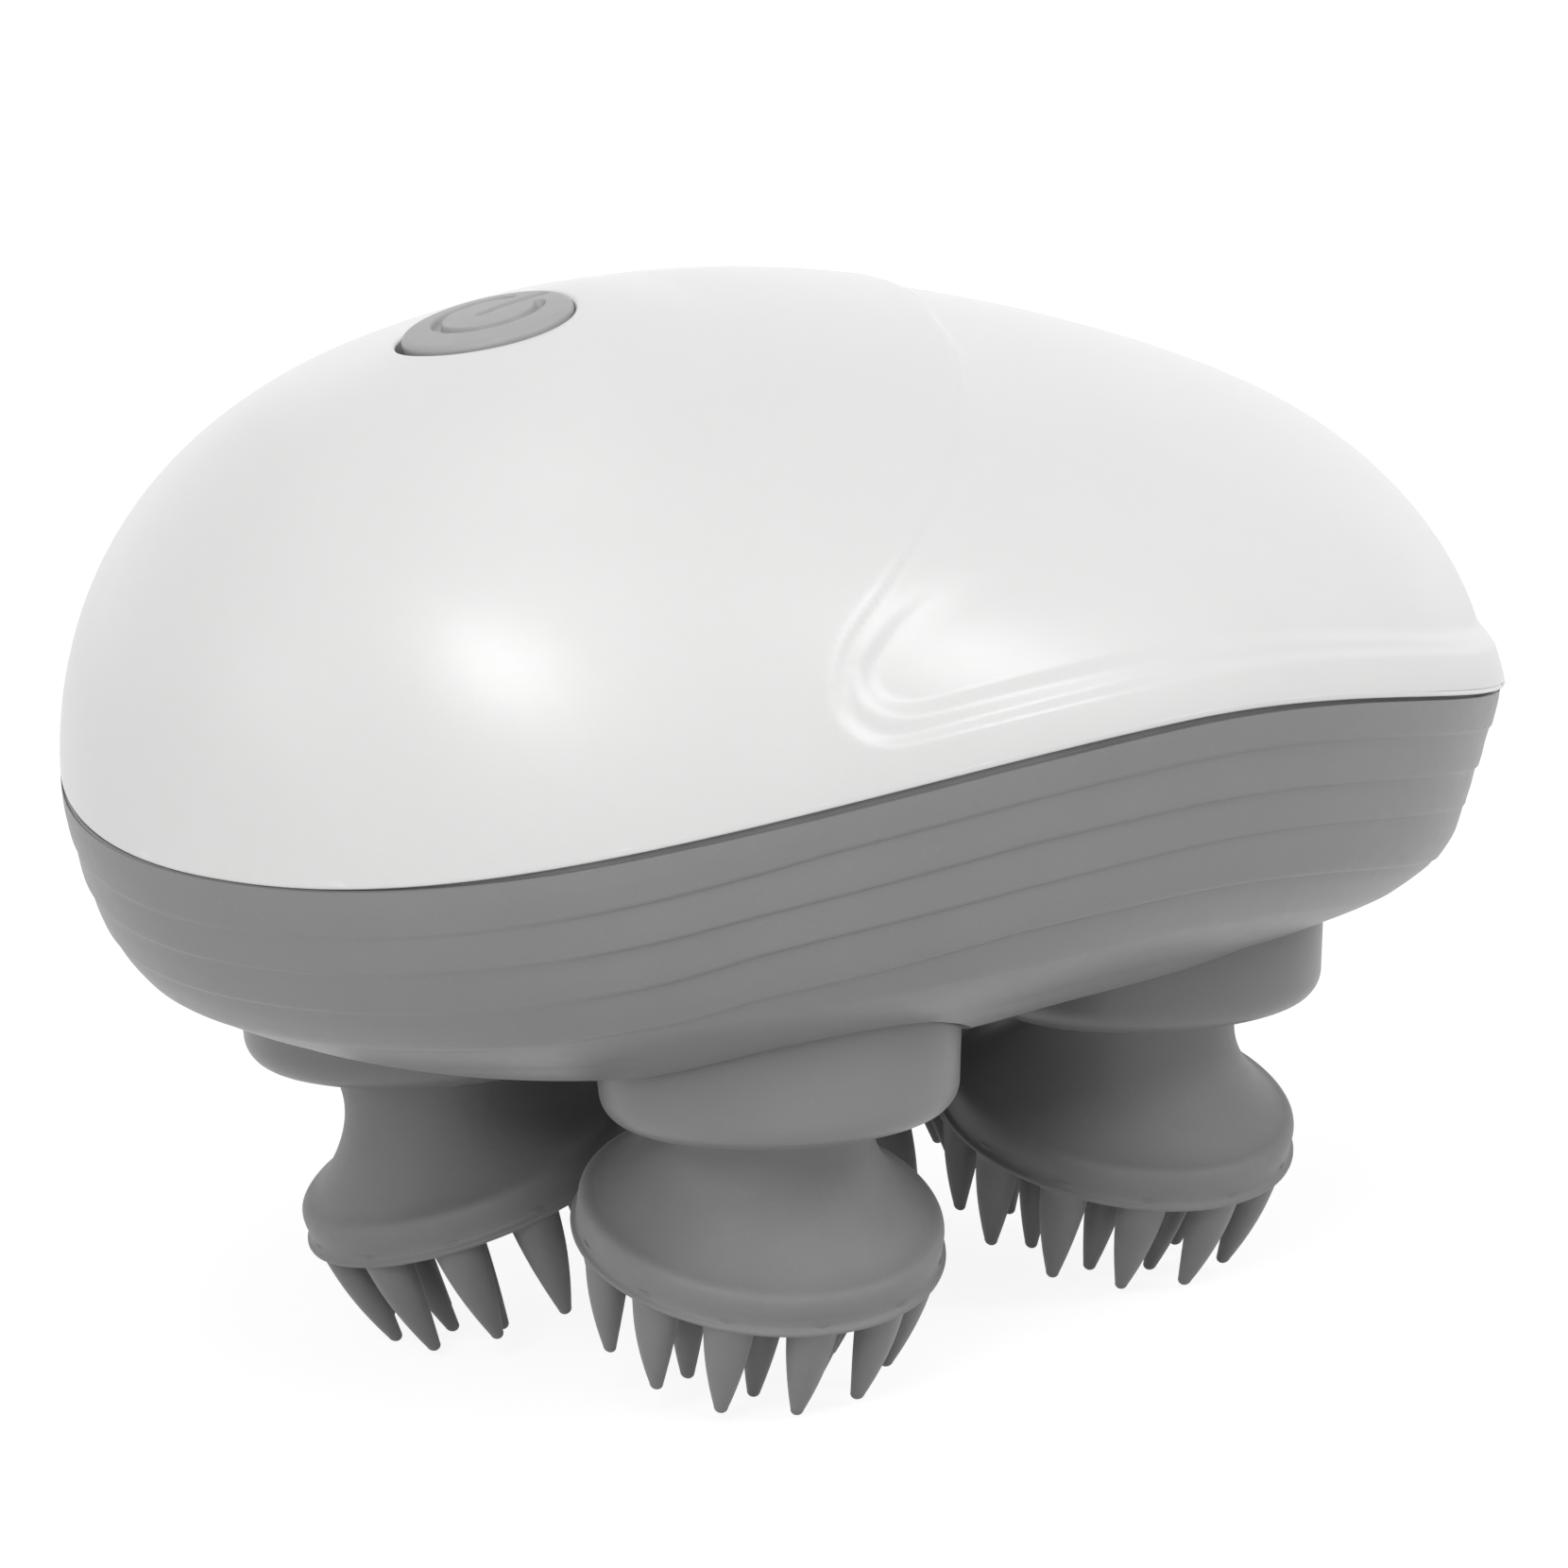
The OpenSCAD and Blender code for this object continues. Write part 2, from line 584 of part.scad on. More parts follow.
module motor_pinion() {
  turn = meshed(right_turn, drive_teeth, motor_dir, pinion_teeth);
  color(steel) translate([motor_x, motor_y, 0]) {
    translate([0, 0, drive_z]) gear(pinion_teeth, drive_face, turn);
    translate([0, 0, drive_z + drive_face - e])
      cylinder(r = motor_shaft_r, h = cover_top + gearhead_length - 2 - drive_z - drive_face);
  }
}

module cell_tray() {
  y_end = cell_length / 2 + 0.15;
  color(dark_grey) difference() {
    translate([cell_x - tray_half, -y_end - tray_wall, cover_top])
      cube([2 * tray_half, 2 * (y_end + tray_wall), tray_height]);
    translate([cell_x, -y_end, cell_z]) rotate([-90, 0, 0]) cylinder(r = cell_r + 0.1, h = 2 * y_end);
    for (p = POSTS) translate([p[0], p[1], cover_top - e])
      cylinder(r = screw_head_r + 0.3, h = screw_head + 1);
  }
}
tray_wall = 1.4;
tray_height = 7;
tray_half = 7.2;
cell_z = cover_top + tray_wall + cell_r;
module rechargeable_cell() {
  color([0.25, 0.45, 0.6]) translate([cell_x, -cell_length / 2, cell_z]) rotate([-90, 0, 0]) {
    cylinder(r = cell_r, h = cell_length - 1);
    translate([0, 0, cell_length - 1 - e]) cylinder(r = 3, h = 1);
  }
}

module circuit_board() {
  color([0.15, 0.4, 0.25]) button_frame() translate([0, 0, -board_top - board_size[2]]) difference() {
    translate([-board_size[0] / 2, -board_size[1] / 2, 0]) cube(board_size);
    for (p = BOARD_HOLES) translate([p[0], p[1], -e]) cylinder(r = small_screw_r, h = board_size[2] + 1);
  }
}
module board_screws() {
  color(steel) button_frame() for (p = BOARD_HOLES)
    translate([p[0], p[1], -board_top - board_size[2]]) mirror([0, 0, 1])
      screw(small_screw_r, 2 * small_screw_r, 0.9, board_size[2] + 3.5);
}
module tact_switch() {
  color([0.2, 0.2, 0.22]) button_frame() translate([0, 0, -board_top]) {
    translate([-switch_width / 2, -switch_width / 2, 0]) cube([switch_width, switch_width, switch_body]);
    cylinder(r = 1.6, h = switch_height);
  }
}
module power_button() {
  dome_r = 46;
  color(grey) button_frame() {
    difference() {
      intersection() {
        translate([0, 0, -flange_top - e]) cylinder(r = button_r, h = flange_top + e + button_rise);
        translate([0, 0, button_rise - dome_r]) sphere(r = dome_r);
      }
      power_mark();
    }
    translate([0, 0, -flange_top - button_flange]) cylinder(r = button_flange_r, h = button_flange);
    translate([0, 0, -stem_end]) cylinder(r = button_stem_r, h = stem_end - flange_top);
  }
}
// Power symbol cut into the button: a bar and an open ring around it.
module power_mark() {
  depth = 0.45;
  turn = -14; // degrees
  ring_r = button_r * 0.52;
  stroke = 0.75;
  translate([0, 0, button_rise - depth]) rotate([0, 0, turn]) {
    difference() {
      cylinder(r = ring_r + stroke / 2, h = 1);
      translate([0, 0, -e]) cylinder(r = ring_r - stroke / 2, h = 1 + 2 * e);
      translate([0, -1.5, -e]) cube([button_r, 3, 1 + 2 * e]);
    }
    translate([-ring_r / 8, -stroke / 2, 0]) cube([ring_r * 1.4, stroke, 1]);
  }
}

module charging_board() {
  color([0.15, 0.4, 0.25])
    translate([socket_face - 0.8 - charging_board_size[0], -charging_board_size[1] / 2, charging_board_z])
      cube(charging_board_size);
}
module charging_socket() {
  color(steel) translate([socket_face - socket_length, -socket_width / 2, port_z - socket_height / 2])
    difference() {
      cube([socket_length, socket_width, socket_height]);
      translate([1, socket_wall, socket_wall])
        cube([socket_length, socket_width - 2 * socket_wall, socket_height - 2 * socket_wall]);
    }
}
// Lead through a list of points: straight eight-sided lengths that run into each other at the bends.
lead_r = 0.6;
module lead(points) {
  last = len(points) - 2;
  for (i = [0:last]) {
    d = points[i + 1] - points[i];
    before = i == 0 ? 0 : lead_r / 2;
    after = i == last ? 0 : lead_r / 2;
    translate(points[i]) rotate([0, acos(d[2] / norm(d)), atan2(d[1], d[0])]) translate([0, 0, -before])
      cylinder(r = lead_r, h = before + norm(d) + after, $fn = 8);
  }
}
// A point under the circuit board, at depth d under its lower face.
function under_board(x, y, d = 0) = let (down = board_top + board_size[2] + d) [
  button_x + x * cos(button_slope) + down * sin(button_slope), y,
  button_z + x * sin(button_slope) - down * cos(button_slope)
];
module motor_leads() {
  top = cover_top + gearhead_length + motor_length + terminal_height;
  color([0.7, 0.15, 0.12]) for (y = [-terminal_y, terminal_y])
    lead([
      [motor_x, motor_y + y, top], [motor_x, motor_y + y, top + 1.2], [0, y, top + 1.6],
      under_board(15, 0.5 * y, 1.6), under_board(10, 0.5 * y, 1.6), under_board(10, 0.5 * y)
    ]);
}
module cell_leads() {
  out = cell_length / 2 + 1.2;
  over = cell_z + cell_r + 1;
  color([0.12, 0.12, 0.14]) for (y = [-1, 1])
    lead([
      [cell_x, y * cell_length / 2, cell_z + 1], [cell_x, y * out, cell_z + 1], [cell_x, y * out, over],
      under_board(5, y * 9.8, 1.6), under_board(5, y * 9.8)
    ]);
}
// A point under the crown, at depth d under its outside.
function under_crown(x, y, d) = [x, y, crown_at(x, y) - d];
module charging_leads() {
  start = [socket_face - charging_board_size[0], 4.5, charging_board_z + charging_board_size[2]];
  over_post = [post_x + 6.3, 8, port_z + 4.4];
  at_seam = [post_x + 2.8, 10, seam_z];
  color([0.85, 0.85, 0.85]) for (y = [-1, 1])
    lead([
      [start[0], y * start[1], start[2]], [start[0], y * start[1], start[2] + 2],
      [over_post[0], y * over_post[1], over_post[2]], [at_seam[0], y * at_seam[1], at_seam[2]],
      under_crown(30, y * 10, 7.8), under_crown(22, y * 11, 3.4), under_crown(10, y * 12, 4),
      under_crown(-8, y * 8, 6.7), under_board(13.5, y * 5.2, 1.6), under_board(10, y * 5.2, 1.6),
      under_board(10, y * 5.2)
    ]);
}
plug_gap = 0.2;
module port_plug() {
  color(dark_grey) {
    intersection() {
      translate([socket_face + 0.2, -port_width / 2 + plug_gap, port_z - port_height / 2 + plug_gap])
        cube([2 * wall, port_width - 2 * plug_gap, port_height - 2 * plug_gap]);
      bowl_solid(0);
    }
    translate([socket_face - 3, -socket_width / 2 + 0.8, port_z - 0.9])
      cube([3.3, socket_width - 1.6, 1.8]);
  }
}

module drive_gear(y, turn) {
  color(nylon) translate([0, y, 0]) difference() {
    union() {
      translate([0, 0, output_z]) gear(small_teeth, drive_z - output_z + e, 0);
      translate([0, 0, drive_z]) gear(drive_teeth, drive_face, turn);
    }
    translate([0, 0, output_z - e]) cylinder(r = axle_r + run_gap, h = cover_z - output_z);
  }
}
module output_gear(head) {
  side = sign(head[0]);
  turn = meshed(0, small_teeth, side > 0 ? 0 : 180, output_teeth);
  color(nylon) translate([head[0], head[1], 0]) {
    translate([0, 0, output_z]) gear(output_teeth, output_face, turn);
    translate([0, 0, shaft_low]) cylinder(r = shaft_r, h = output_z - shaft_low + e);
    translate([0, 0, output_z]) cylinder(r = journal_r, h = cover_top - 0.3 - output_z);
  }
}
module collar(head) {
  color(grey) difference() {
    translate([head[0], head[1], collar_z]) {
      rotate_extrude() {
        polygon([
          [0, 0], [collar_r - collar_round, 0], [collar_r, collar_round],
          [collar_r + collar_draft, collar_height], [0, collar_height]
        ]);
        translate([collar_r - collar_round, collar_round]) circle(r = collar_round);
      }
    }
    translate([head[0], head[1], shaft_low]) cylinder(r = shaft_r, h = collar_height);
    head_frame(head) {
      rotate_extrude() polygon([
        [0, e],
        [neck_r + hub_gap, e],
        each flare_points(hub_gap),
        [0, -shoulder_drop]
      ]);
      translate([0, 0, -e]) cylinder(r = pin_r, h = pin_grip + e);
    }
  }
}
pin_reach = hub_gap + hub_length + 0.15;
module crank_pin(head) {
  color(steel) head_frame(head) difference() {
    union() {
      translate([0, 0, -pin_reach - e]) cylinder(r = pin_r, h = pin_reach + pin_grip + e);
      translate([0, 0, -pin_reach - pin_head]) cylinder(r = pin_head_r, h = pin_head);
    }
    translate([-pin_head_r, -0.4, -pin_reach - pin_head - e]) cube([2 * pin_head_r, 0.8, 0.7]);
  }
}
flange_low = claw_root - 2.2;
module head_hub(head) {
  color([0.3, 0.3, 0.32]) head_frame(head) difference() {
    union() {
      translate([0, 0, -flange_low]) cylinder(r = hub_r, h = flange_low - hub_gap);
      translate([0, 0, -flange_low]) cylinder(r = hub_flange_r, h = hub_flange);
    }
    translate([0, 0, -flange_low - e]) cylinder(r = pin_r + run_gap, h = flange_low + 1);
    translate([0, 0, -flange_low - e])
      cylinder(r = pin_head_r + 0.3, h = flange_low - hub_gap - hub_length + e);
  }
}
// Silicone head: a trumpet that opens into a disc, with claws under it.
flare_top = 2.2;
flare_steps = 9;
flare_turn = 72;
shoulder_round = 0.8;
flare_r = disc_r - shoulder_round - neck_r;
flare_h = shoulder_drop - shoulder_round - flare_top;
// The flare from the neck to the disc, moved out by a gap.
function flare_points(gap) = [
  for (j = [0:flare_steps]) let (a = flare_turn * j / flare_steps) [
    neck_r + gap + flare_r * (1 - cos(a)) / (1 - cos(flare_turn)),
    gap - flare_top - flare_h * sin(a) / sin(flare_turn)
  ]
];
module head_profile() {
  polygon([
    [0, -hub_gap],
    [neck_r, -hub_gap],
    each flare_points(0),
    [disc_r, -shoulder_drop],
    [disc_r, -claw_root + 0.6],
    [lip_r, -claw_root + 0.4],
    [lip_r, -claw_root],
    [0, -claw_root]
  ]);
  translate([disc_r - shoulder_round, -shoulder_drop]) circle(r = shoulder_round);
}
module claw(root_ring, tip_ring, reach) {
  lean = atan((root_ring - tip_ring) / (reach - claw_root));
  length = (reach - claw_root) / cos(lean);
  sunk = 0.6;
  translate([root_ring, 0, -claw_root]) rotate([0, 180 + lean, 0]) translate([0, 0, -sunk])
    cylinder(r1 = claw_root_r, r2 = claw_tip_r, h = length + sunk);
}
module massage_head(head) {
  color(dark_grey) head_frame(head) {
    difference() {
      rotate_extrude() head_profile();
      translate([0, 0, -flange_low]) cylinder(r = hub_r, h = flange_low + 1);
      translate([0, 0, -flange_low]) cylinder(r = hub_flange_r, h = hub_flange);
    }
    for (i = [0:outer_claws - 1]) rotate(180 + 360 * i / outer_claws)
      claw(claw_root_ring, claw_tip_ring, claw_reach);
    for (i = [0:inner_claws - 1]) rotate(180 + 360 * i / inner_claws)
      claw(inner_ring, inner_ring - 0.6, claw_reach - inner_short);
  }
}

upper_shell();
lower_shell();
seam_gasket();
gearbox_cover();
cover_screws();
drive_axles();
shaft_bushes();
shaft_seals();
motor_gearhead();
drive_motor();
motor_screws();
cell_tray();
rechargeable_cell();
circuit_board();
board_screws();
tact_switch();
charging_board();
charging_socket();
motor_leads();
cell_leads();
charging_leads();
port_plug();
power_button();
motor_pinion();
drive_gear(-head_y, right_turn);  // drive_gear_right
drive_gear(head_y, left_turn);  // drive_gear_left
output_gear(FRONT_RIGHT);  // output_gear_front_right
output_gear(FRONT_LEFT);  // output_gear_front_left
output_gear(REAR_RIGHT);  // output_gear_rear_right
output_gear(REAR_LEFT);  // output_gear_rear_left
collar(FRONT_RIGHT);  // collar_front_right
collar(FRONT_LEFT);  // collar_front_left
collar(REAR_RIGHT);  // collar_rear_right
collar(REAR_LEFT);  // collar_rear_left
crank_pin(FRONT_RIGHT);  // crank_pin_front_right
crank_pin(FRONT_LEFT);  // crank_pin_front_left
crank_pin(REAR_RIGHT);  // crank_pin_rear_right
crank_pin(REAR_LEFT);  // crank_pin_rear_left
head_hub(FRONT_RIGHT);  // head_hub_front_right
head_hub(FRONT_LEFT);  // head_hub_front_left
head_hub(REAR_RIGHT);  // head_hub_rear_right
head_hub(REAR_LEFT);  // head_hub_rear_left
massage_head(FRONT_RIGHT);  // massage_head_front_right
massage_head(FRONT_LEFT);  // massage_head_front_left
massage_head(REAR_RIGHT);  // massage_head_rear_right
massage_head(REAR_LEFT);  // massage_head_rear_left
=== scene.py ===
"""Looks of the scalp massager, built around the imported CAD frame.

Lengths are in mm, in the frame of the CAD, and become metres in mesh_object. The lamps are in metres.
"""
import json
import math
import random

import bmesh
import bpy
import numpy as np
from mathutils import Matrix, Vector


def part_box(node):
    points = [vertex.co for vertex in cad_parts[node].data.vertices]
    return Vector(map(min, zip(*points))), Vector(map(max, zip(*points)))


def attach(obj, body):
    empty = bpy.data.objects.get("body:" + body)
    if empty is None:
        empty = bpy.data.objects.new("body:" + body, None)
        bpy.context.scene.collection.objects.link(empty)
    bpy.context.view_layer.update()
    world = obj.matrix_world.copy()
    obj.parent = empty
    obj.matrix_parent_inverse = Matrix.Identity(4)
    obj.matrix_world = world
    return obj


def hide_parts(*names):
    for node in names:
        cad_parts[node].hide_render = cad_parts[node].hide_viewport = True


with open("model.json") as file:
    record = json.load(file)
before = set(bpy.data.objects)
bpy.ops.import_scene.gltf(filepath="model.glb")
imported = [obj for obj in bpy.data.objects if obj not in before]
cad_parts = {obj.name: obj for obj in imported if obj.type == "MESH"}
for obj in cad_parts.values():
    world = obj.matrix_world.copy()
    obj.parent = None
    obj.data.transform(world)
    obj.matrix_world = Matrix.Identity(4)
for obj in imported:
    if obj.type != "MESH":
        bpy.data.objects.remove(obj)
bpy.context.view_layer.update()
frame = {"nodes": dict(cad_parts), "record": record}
MM = 0.001

# ---------------------------------------------------------------- sizes of the housing, in mm
LENGTH, WIDTH = 114.0, 90.58
PLAN_POWER, PLAN_FLARE = 2.17, 0.07
CROWN_HEIGHT, CROWN_LEAN, CROWN_ENDS, CROWN_POWER = 27.8, 3.83, 3.35, 3.03
SECTION_POWERS = (2.10, 1.61, 2.18)  # across the crown, at the nose, the middle and the tail
SEAM_PEAK_X, SEAM_DROP_NOSE, SEAM_DROP_TAIL = -8.1, 7.08, 7.87
BOWL_DEPTH, BOWL_RISE_NOSE, BOWL_RISE_TAIL = 25.09, 5.55, 2.25
BOWL_TURN, BOWL_POWER = (0.626, 0.904), (2.43, 2.22)  # at the nose and the tail
# How far the bowl's profile stands out from the plain curve, from the seam down.
BULGE_NOSE = (0.0, -0.07, -0.22, -0.31, -0.3, -0.14, 0.17, 0.33, 0.04, -0.23, 0.0, 0.0)
BULGE_TAIL = (-0.03, -0.38, -0.72, -0.79, -0.5, 0.34, 0.68, 0.43, -0.2, -0.56, -0.19, 0.0)
WALL = 2.2
COLLAR_R, COLLAR_DRAFT, COLLAR_ROUND, COLLAR_HEIGHT = 12.7, 0.5, 2.3, 10.0
COLLAR_GAP, WELL_WALL, WELL_ROOF, ROOF_GAP = 0.4, 1.6, 2.0, 0.4
PIVOT_HEIGHT = 2.5
HEAD_X, HEAD_Y, TILT = 20.8, 17.2, math.radians(19)
# Where each head's pivot is, and to which side in degrees it leans.
HEADS = {
    "front_right": (-HEAD_X, -HEAD_Y, 68),
    "front_left": (-HEAD_X, HEAD_Y, -28),
    "rear_right": (HEAD_X, -HEAD_Y, 80),
    "rear_left": (HEAD_X, HEAD_Y, -40),
}
# How far the outer and the inner ring of claws are turned on each head, in degrees.
CLAW_TURNS = {
    "front_right": (-6, 23),
    "front_left": (-1, 8),
    "rear_right": (1, 2.5),
    "rear_left": (0, 0),
}
COLLAR_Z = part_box("collar_front_right")[0].z / MM
PIVOT_Z = COLLAR_Z + PIVOT_HEIGHT
SEAM_Z = COLLAR_Z + 28.6
BUTTON_X, BUTTON_R, BUTTON_RISE = -29.0, 6.15, 0.25
# How much more than the crown's middle line the button's face is tipped, lengthwise and sideways, and
# how far around it the crown follows.
SEAT_TIP_X, SEAT_TIP_Y, SEAT_REACH = math.radians(2.7), math.radians(4.1), 17.0
BUTTON_HOLE_R = BUTTON_R + 0.3
NOTHING, LEAST = 1e-6, 1e-12  # keep divisions from failing


# ---------------------------------------------------------------- housing surface
def power(v, p):
    """The power p of v's size, with the sign of v."""
    return np.sign(v) * np.abs(v) ** p


def lame(u, p):
    """Height of a superellipse of power p, 1 at u = 0 and 0 from u = 1 on."""
    return np.maximum(0, 1 - np.minimum(np.abs(u), 1) ** p) ** (1 / p)


def plan(a, inset=0.0):
    """The outline at angle a (radians), seen from above."""
    x = (LENGTH / 2 - inset) * power(np.cos(a), 2 / PLAN_POWER)
    y = (WIDTH / 2 - inset) * power(np.sin(a), 2 / PLAN_POWER) * (1 + PLAN_FLARE * x / (LENGTH / 2))
    return x, y


def along(x):
    """0 at the seam's highest point, 1 at the nose and at the tail."""
    nose = (SEAM_PEAK_X - x) / (SEAM_PEAK_X + LENGTH / 2)
    tail = (x - SEAM_PEAK_X) / (LENGTH / 2 - SEAM_PEAK_X)
    return np.minimum(np.where(x < SEAM_PEAK_X, nose, tail), 1)


def seam_at(x):
    """Height of the seam."""
    u = along(x)
    nose_drop = SEAM_DROP_NOSE * u * u
    tail_drop = SEAM_DROP_TAIL * (3 * u * u - 2 * u ** 3)
    return SEAM_Z - np.where(x < SEAM_PEAK_X, nose_drop, tail_drop)


def half_width(x, inset):
    """Half the width of the outline that lies inset inside the body's."""
    s = LENGTH / 2 - inset
    return (WIDTH / 2 - inset) * lame(x / s, PLAN_POWER) * (1 + PLAN_FLARE * x / (LENGTH / 2))


def crown_at(x, y, inset=0.0):
    """Height of the crown over a point."""
    u = x / (LENGTH / 2)
    rise = CROWN_HEIGHT - inset - CROWN_LEAN * u + CROWN_ENDS * u * u
    rise = rise * lame(x / (LENGTH / 2 - inset), CROWN_POWER)
    nose, middle, tail = SECTION_POWERS
    across = middle + np.where(x < 0, nose - middle, tail - middle) * u * u
    return seam_at(x) + rise * lame(y / np.maximum(half_width(x, inset), 0.01), across)


def smooth(t):
    """Eases from 0 to 1 while t goes from 0 to 1."""
    t = np.clip(t, 0, 1)
    return t * t * (3 - 2 * t)


# ---------------------------------------------------------------- mesh helpers
def strips(n, rows, first=0, closed=True):
    """Quads between rows of n points each, as index lists."""
    quads = []
    for j in range(rows - 1):
        a, b = first + j * n, first + (j + 1) * n
        for i in range(n if closed else n - 1):
            k = (i + 1) % n
            quads.append((a + i, a + k, b + k, b + i))
    return quads


def mesh_object(name, points, faces, sharp=None):
    """A smooth-shaded object from points in mm. Edges over the angle sharp, in degrees, stay sharp."""
    mesh = bpy.data.meshes.new(name)
    mesh.from_pydata((np.asarray(points, float) * MM).tolist(), [], faces)
    mesh.validate()
    work = bmesh.new()
    work.from_mesh(mesh)
    bmesh.ops.recalc_face_normals(work, faces=work.faces)
    if work.calc_volume(signed=True) < 0:
        bmesh.ops.reverse_faces(work, faces=work.faces)
    work.to_mesh(mesh)
    work.free()
    mesh.shade_smooth()
    if sharp is not None:
        mesh.set_sharp_from_angle(angle=math.radians(sharp))
    obj = bpy.data.objects.new(name, mesh)
    bpy.context.scene.collection.objects.link(obj)
    return obj


def lathe(profile, n):
    """Points and faces of a solid of revolution about Z, with n points around.

    The profile's (radius, z) points start and end on the axis.
    """
    angles = np.linspace(0, 2 * math.pi, n, endpoint=False)
    inner = profile[1:-1]
    points = [(0, 0, profile[0][1])]
    for r, z in inner:
        points += [(r * math.cos(a), r * math.sin(a), z) for a in angles]
    points.append((0, 0, profile[-1][1]))
    faces = [(0, 1 + (i + 1) % n, 1 + i) for i in range(n)]
    faces += strips(n, len(inner), 1)
    last = 1 + (len(inner) - 1) * n
    faces += [(len(points) - 1, last + i, last + (i + 1) % n) for i in range(n)]
    return points, faces


def arc(cx, cz, r, start, end, steps):
    """Points of an arc in a profile, angles in degrees."""
    return [
        (cx + r * math.cos(math.radians(a)), cz + r * math.sin(math.radians(a)))
        for a in np.linspace(start, end, steps)
    ]


def cut(obj, cutter):
    """Takes the cutter away from obj and deletes it."""
    bpy.context.view_layer.update()
    step = obj.modifiers.new("cut", "BOOLEAN")
    step.operation, step.object, step.solver = "DIFFERENCE", cutter, "MANIFOLD"
    result = obj.evaluated_get(bpy.context.evaluated_depsgraph_get())
    mesh = bpy.data.meshes.new_from_object(result)
    obj.modifiers.clear()
    old = obj.data
    obj.data = mesh
    bpy.data.meshes.remove(old)
    bpy.data.objects.remove(cutter)


def moved(points, matrix):
    """The points, turned and shifted by a matrix."""
    p = np.asarray(points, float)
    m = np.array(matrix)
    return p @ m[:3, :3].T + m[:3, 3]


def finish_piece(obj, look, body, nodes):
    """Gives a new piece its material and its body, and hides the nodes that it stands for."""
    obj.data.materials.clear()
    obj.data.materials.append(look)
    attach(obj, body)
    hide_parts(*nodes)


# ---------------------------------------------------------------- materials
SPECK_SIZE, SPECK_FROM, SPECK_TO, SPECK_PALER = 0.35, 0.72, 0.78, 0.25
ROUGH_SIZE, ROUGH_SPREAD = 1.2, 0.06


def material(name, base, rough, spread=0.02, grain=0.0, grain_size=0.15, dust=0.0, metal=0.0,
             coat=0.0, coat_rough=0.2, sheen=0.0, specular=0.5, mottle=6.0):
    """A moulded or metal surface: an uneven colour and roughness, a fine grain, and specks of dust.

    The sizes of the grain and the mottle, and the grain's height, are in mm.
    """
    mat = bpy.data.materials.new(name)
    mat.use_nodes = True
    nodes, links = mat.node_tree.nodes, mat.node_tree.links
    shader = nodes["Principled BSDF"]
    shader.inputs["Metallic"].default_value = metal
    shader.inputs["Coat Weight"].default_value = coat
    shader.inputs["Coat Roughness"].default_value = coat_rough
    shader.inputs["Sheen Weight"].default_value = sheen
    shader.inputs["Specular IOR Level"].default_value = specular
    place = nodes.new("ShaderNodeTexCoord")

    def noise(size_mm, detail):
        node = nodes.new("ShaderNodeTexNoise")
        node.inputs["Scale"].default_value = 1 / (size_mm * MM)
        node.inputs["Detail"].default_value = detail
        links.new(place.outputs["Object"], node.inputs["Vector"])
        return node.outputs["Fac"]

    def remap(value, low, high, to_low, to_high):
        node = nodes.new("ShaderNodeMapRange")
        node.inputs["From Min"].default_value = low
        node.inputs["From Max"].default_value = high
        node.inputs["To Min"].default_value = to_low
        node.inputs["To Max"].default_value = to_high
        links.new(value, node.inputs["Value"])
        return node.outputs["Result"]

    def mix(factor, a, b):
        node = nodes.new("ShaderNodeMix")
        node.data_type = "RGBA"
        links.new(factor, node.inputs["Factor"])
        for socket, colour in (("A", a), ("B", b)):
            if isinstance(colour, tuple):
                node.inputs[socket].default_value = (*colour, 1)
            else:
                links.new(colour, node.inputs[socket])
        return node.outputs["Result"]

    dark = tuple(c * (1 - spread) for c in base)
    light = tuple(min(1, c * (1 + spread)) for c in base)
    colour = mix(remap(noise(mottle, 4), 0.35, 0.65, 0, 1), dark, light)
    if dust:
        specks = remap(noise(SPECK_SIZE, 0), SPECK_FROM, SPECK_TO, 0, dust)
        pale = tuple(min(1, c + SPECK_PALER) for c in base)
        colour = mix(specks, colour, pale)
    links.new(colour, shader.inputs["Base Color"])
    smoother, rougher = rough * (1 - ROUGH_SPREAD), rough * (1 + ROUGH_SPREAD)
    links.new(remap(noise(ROUGH_SIZE, 3), 0.3, 0.7, smoother, rougher), shader.inputs["Roughness"])
    if grain:
        bump = nodes.new("ShaderNodeBump")
        bump.inputs["Strength"].default_value = 1
        bump.inputs["Distance"].default_value = grain * MM
        links.new(noise(grain_size, 2), bump.inputs["Height"])
        links.new(bump.outputs["Normal"], shader.inputs["Normal"])
    return mat


def grey(v):
    """A neutral colour."""
    return (v, v, v)


PEARL = material("pearl_shell", (0.80, 0.80, 0.795), 0.36, 0.008, grain=0.012, grain_size=0.14,
                 coat=0.5, coat_rough=0.28, mottle=14)
GREY_SHELL = material("grey_shell", grey(0.245), 0.38, 0.015, grain=0.012, grain_size=0.16, dust=0.04)
GREY_BUTTON = material("grey_button", grey(0.42), 0.5, 0.02, grain=0.008, grain_size=0.2)
SILICONE = material("silicone", grey(0.24), 0.56, 0.03, grain=0.01, grain_size=0.3, dust=0.05,
                    sheen=0.15, specular=0.4)
GASKET = material("gasket_rubber", grey(0.24), 0.7, 0.1, grain=0.01)
PLUG = material("plug_rubber", grey(0.25), 0.6, 0.04, grain=0.01)
NYLON = material("nylon", (0.78, 0.75, 0.67), 0.5, 0.03, grain=0.01)
HUB = material("hub_plastic", grey(0.06), 0.5, 0.05, grain=0.01)
STEEL = material("steel", grey(0.55), 0.28, 0.05, grain=0.004, grain_size=0.4, metal=1)
MOTOR_STEEL = material("motor_steel", grey(0.5), 0.35, 0.06, grain=0.006, grain_size=0.5, metal=1)
BRONZE = material("bronze", (0.6, 0.42, 0.2), 0.4, 0.08, grain=0.008, metal=1)
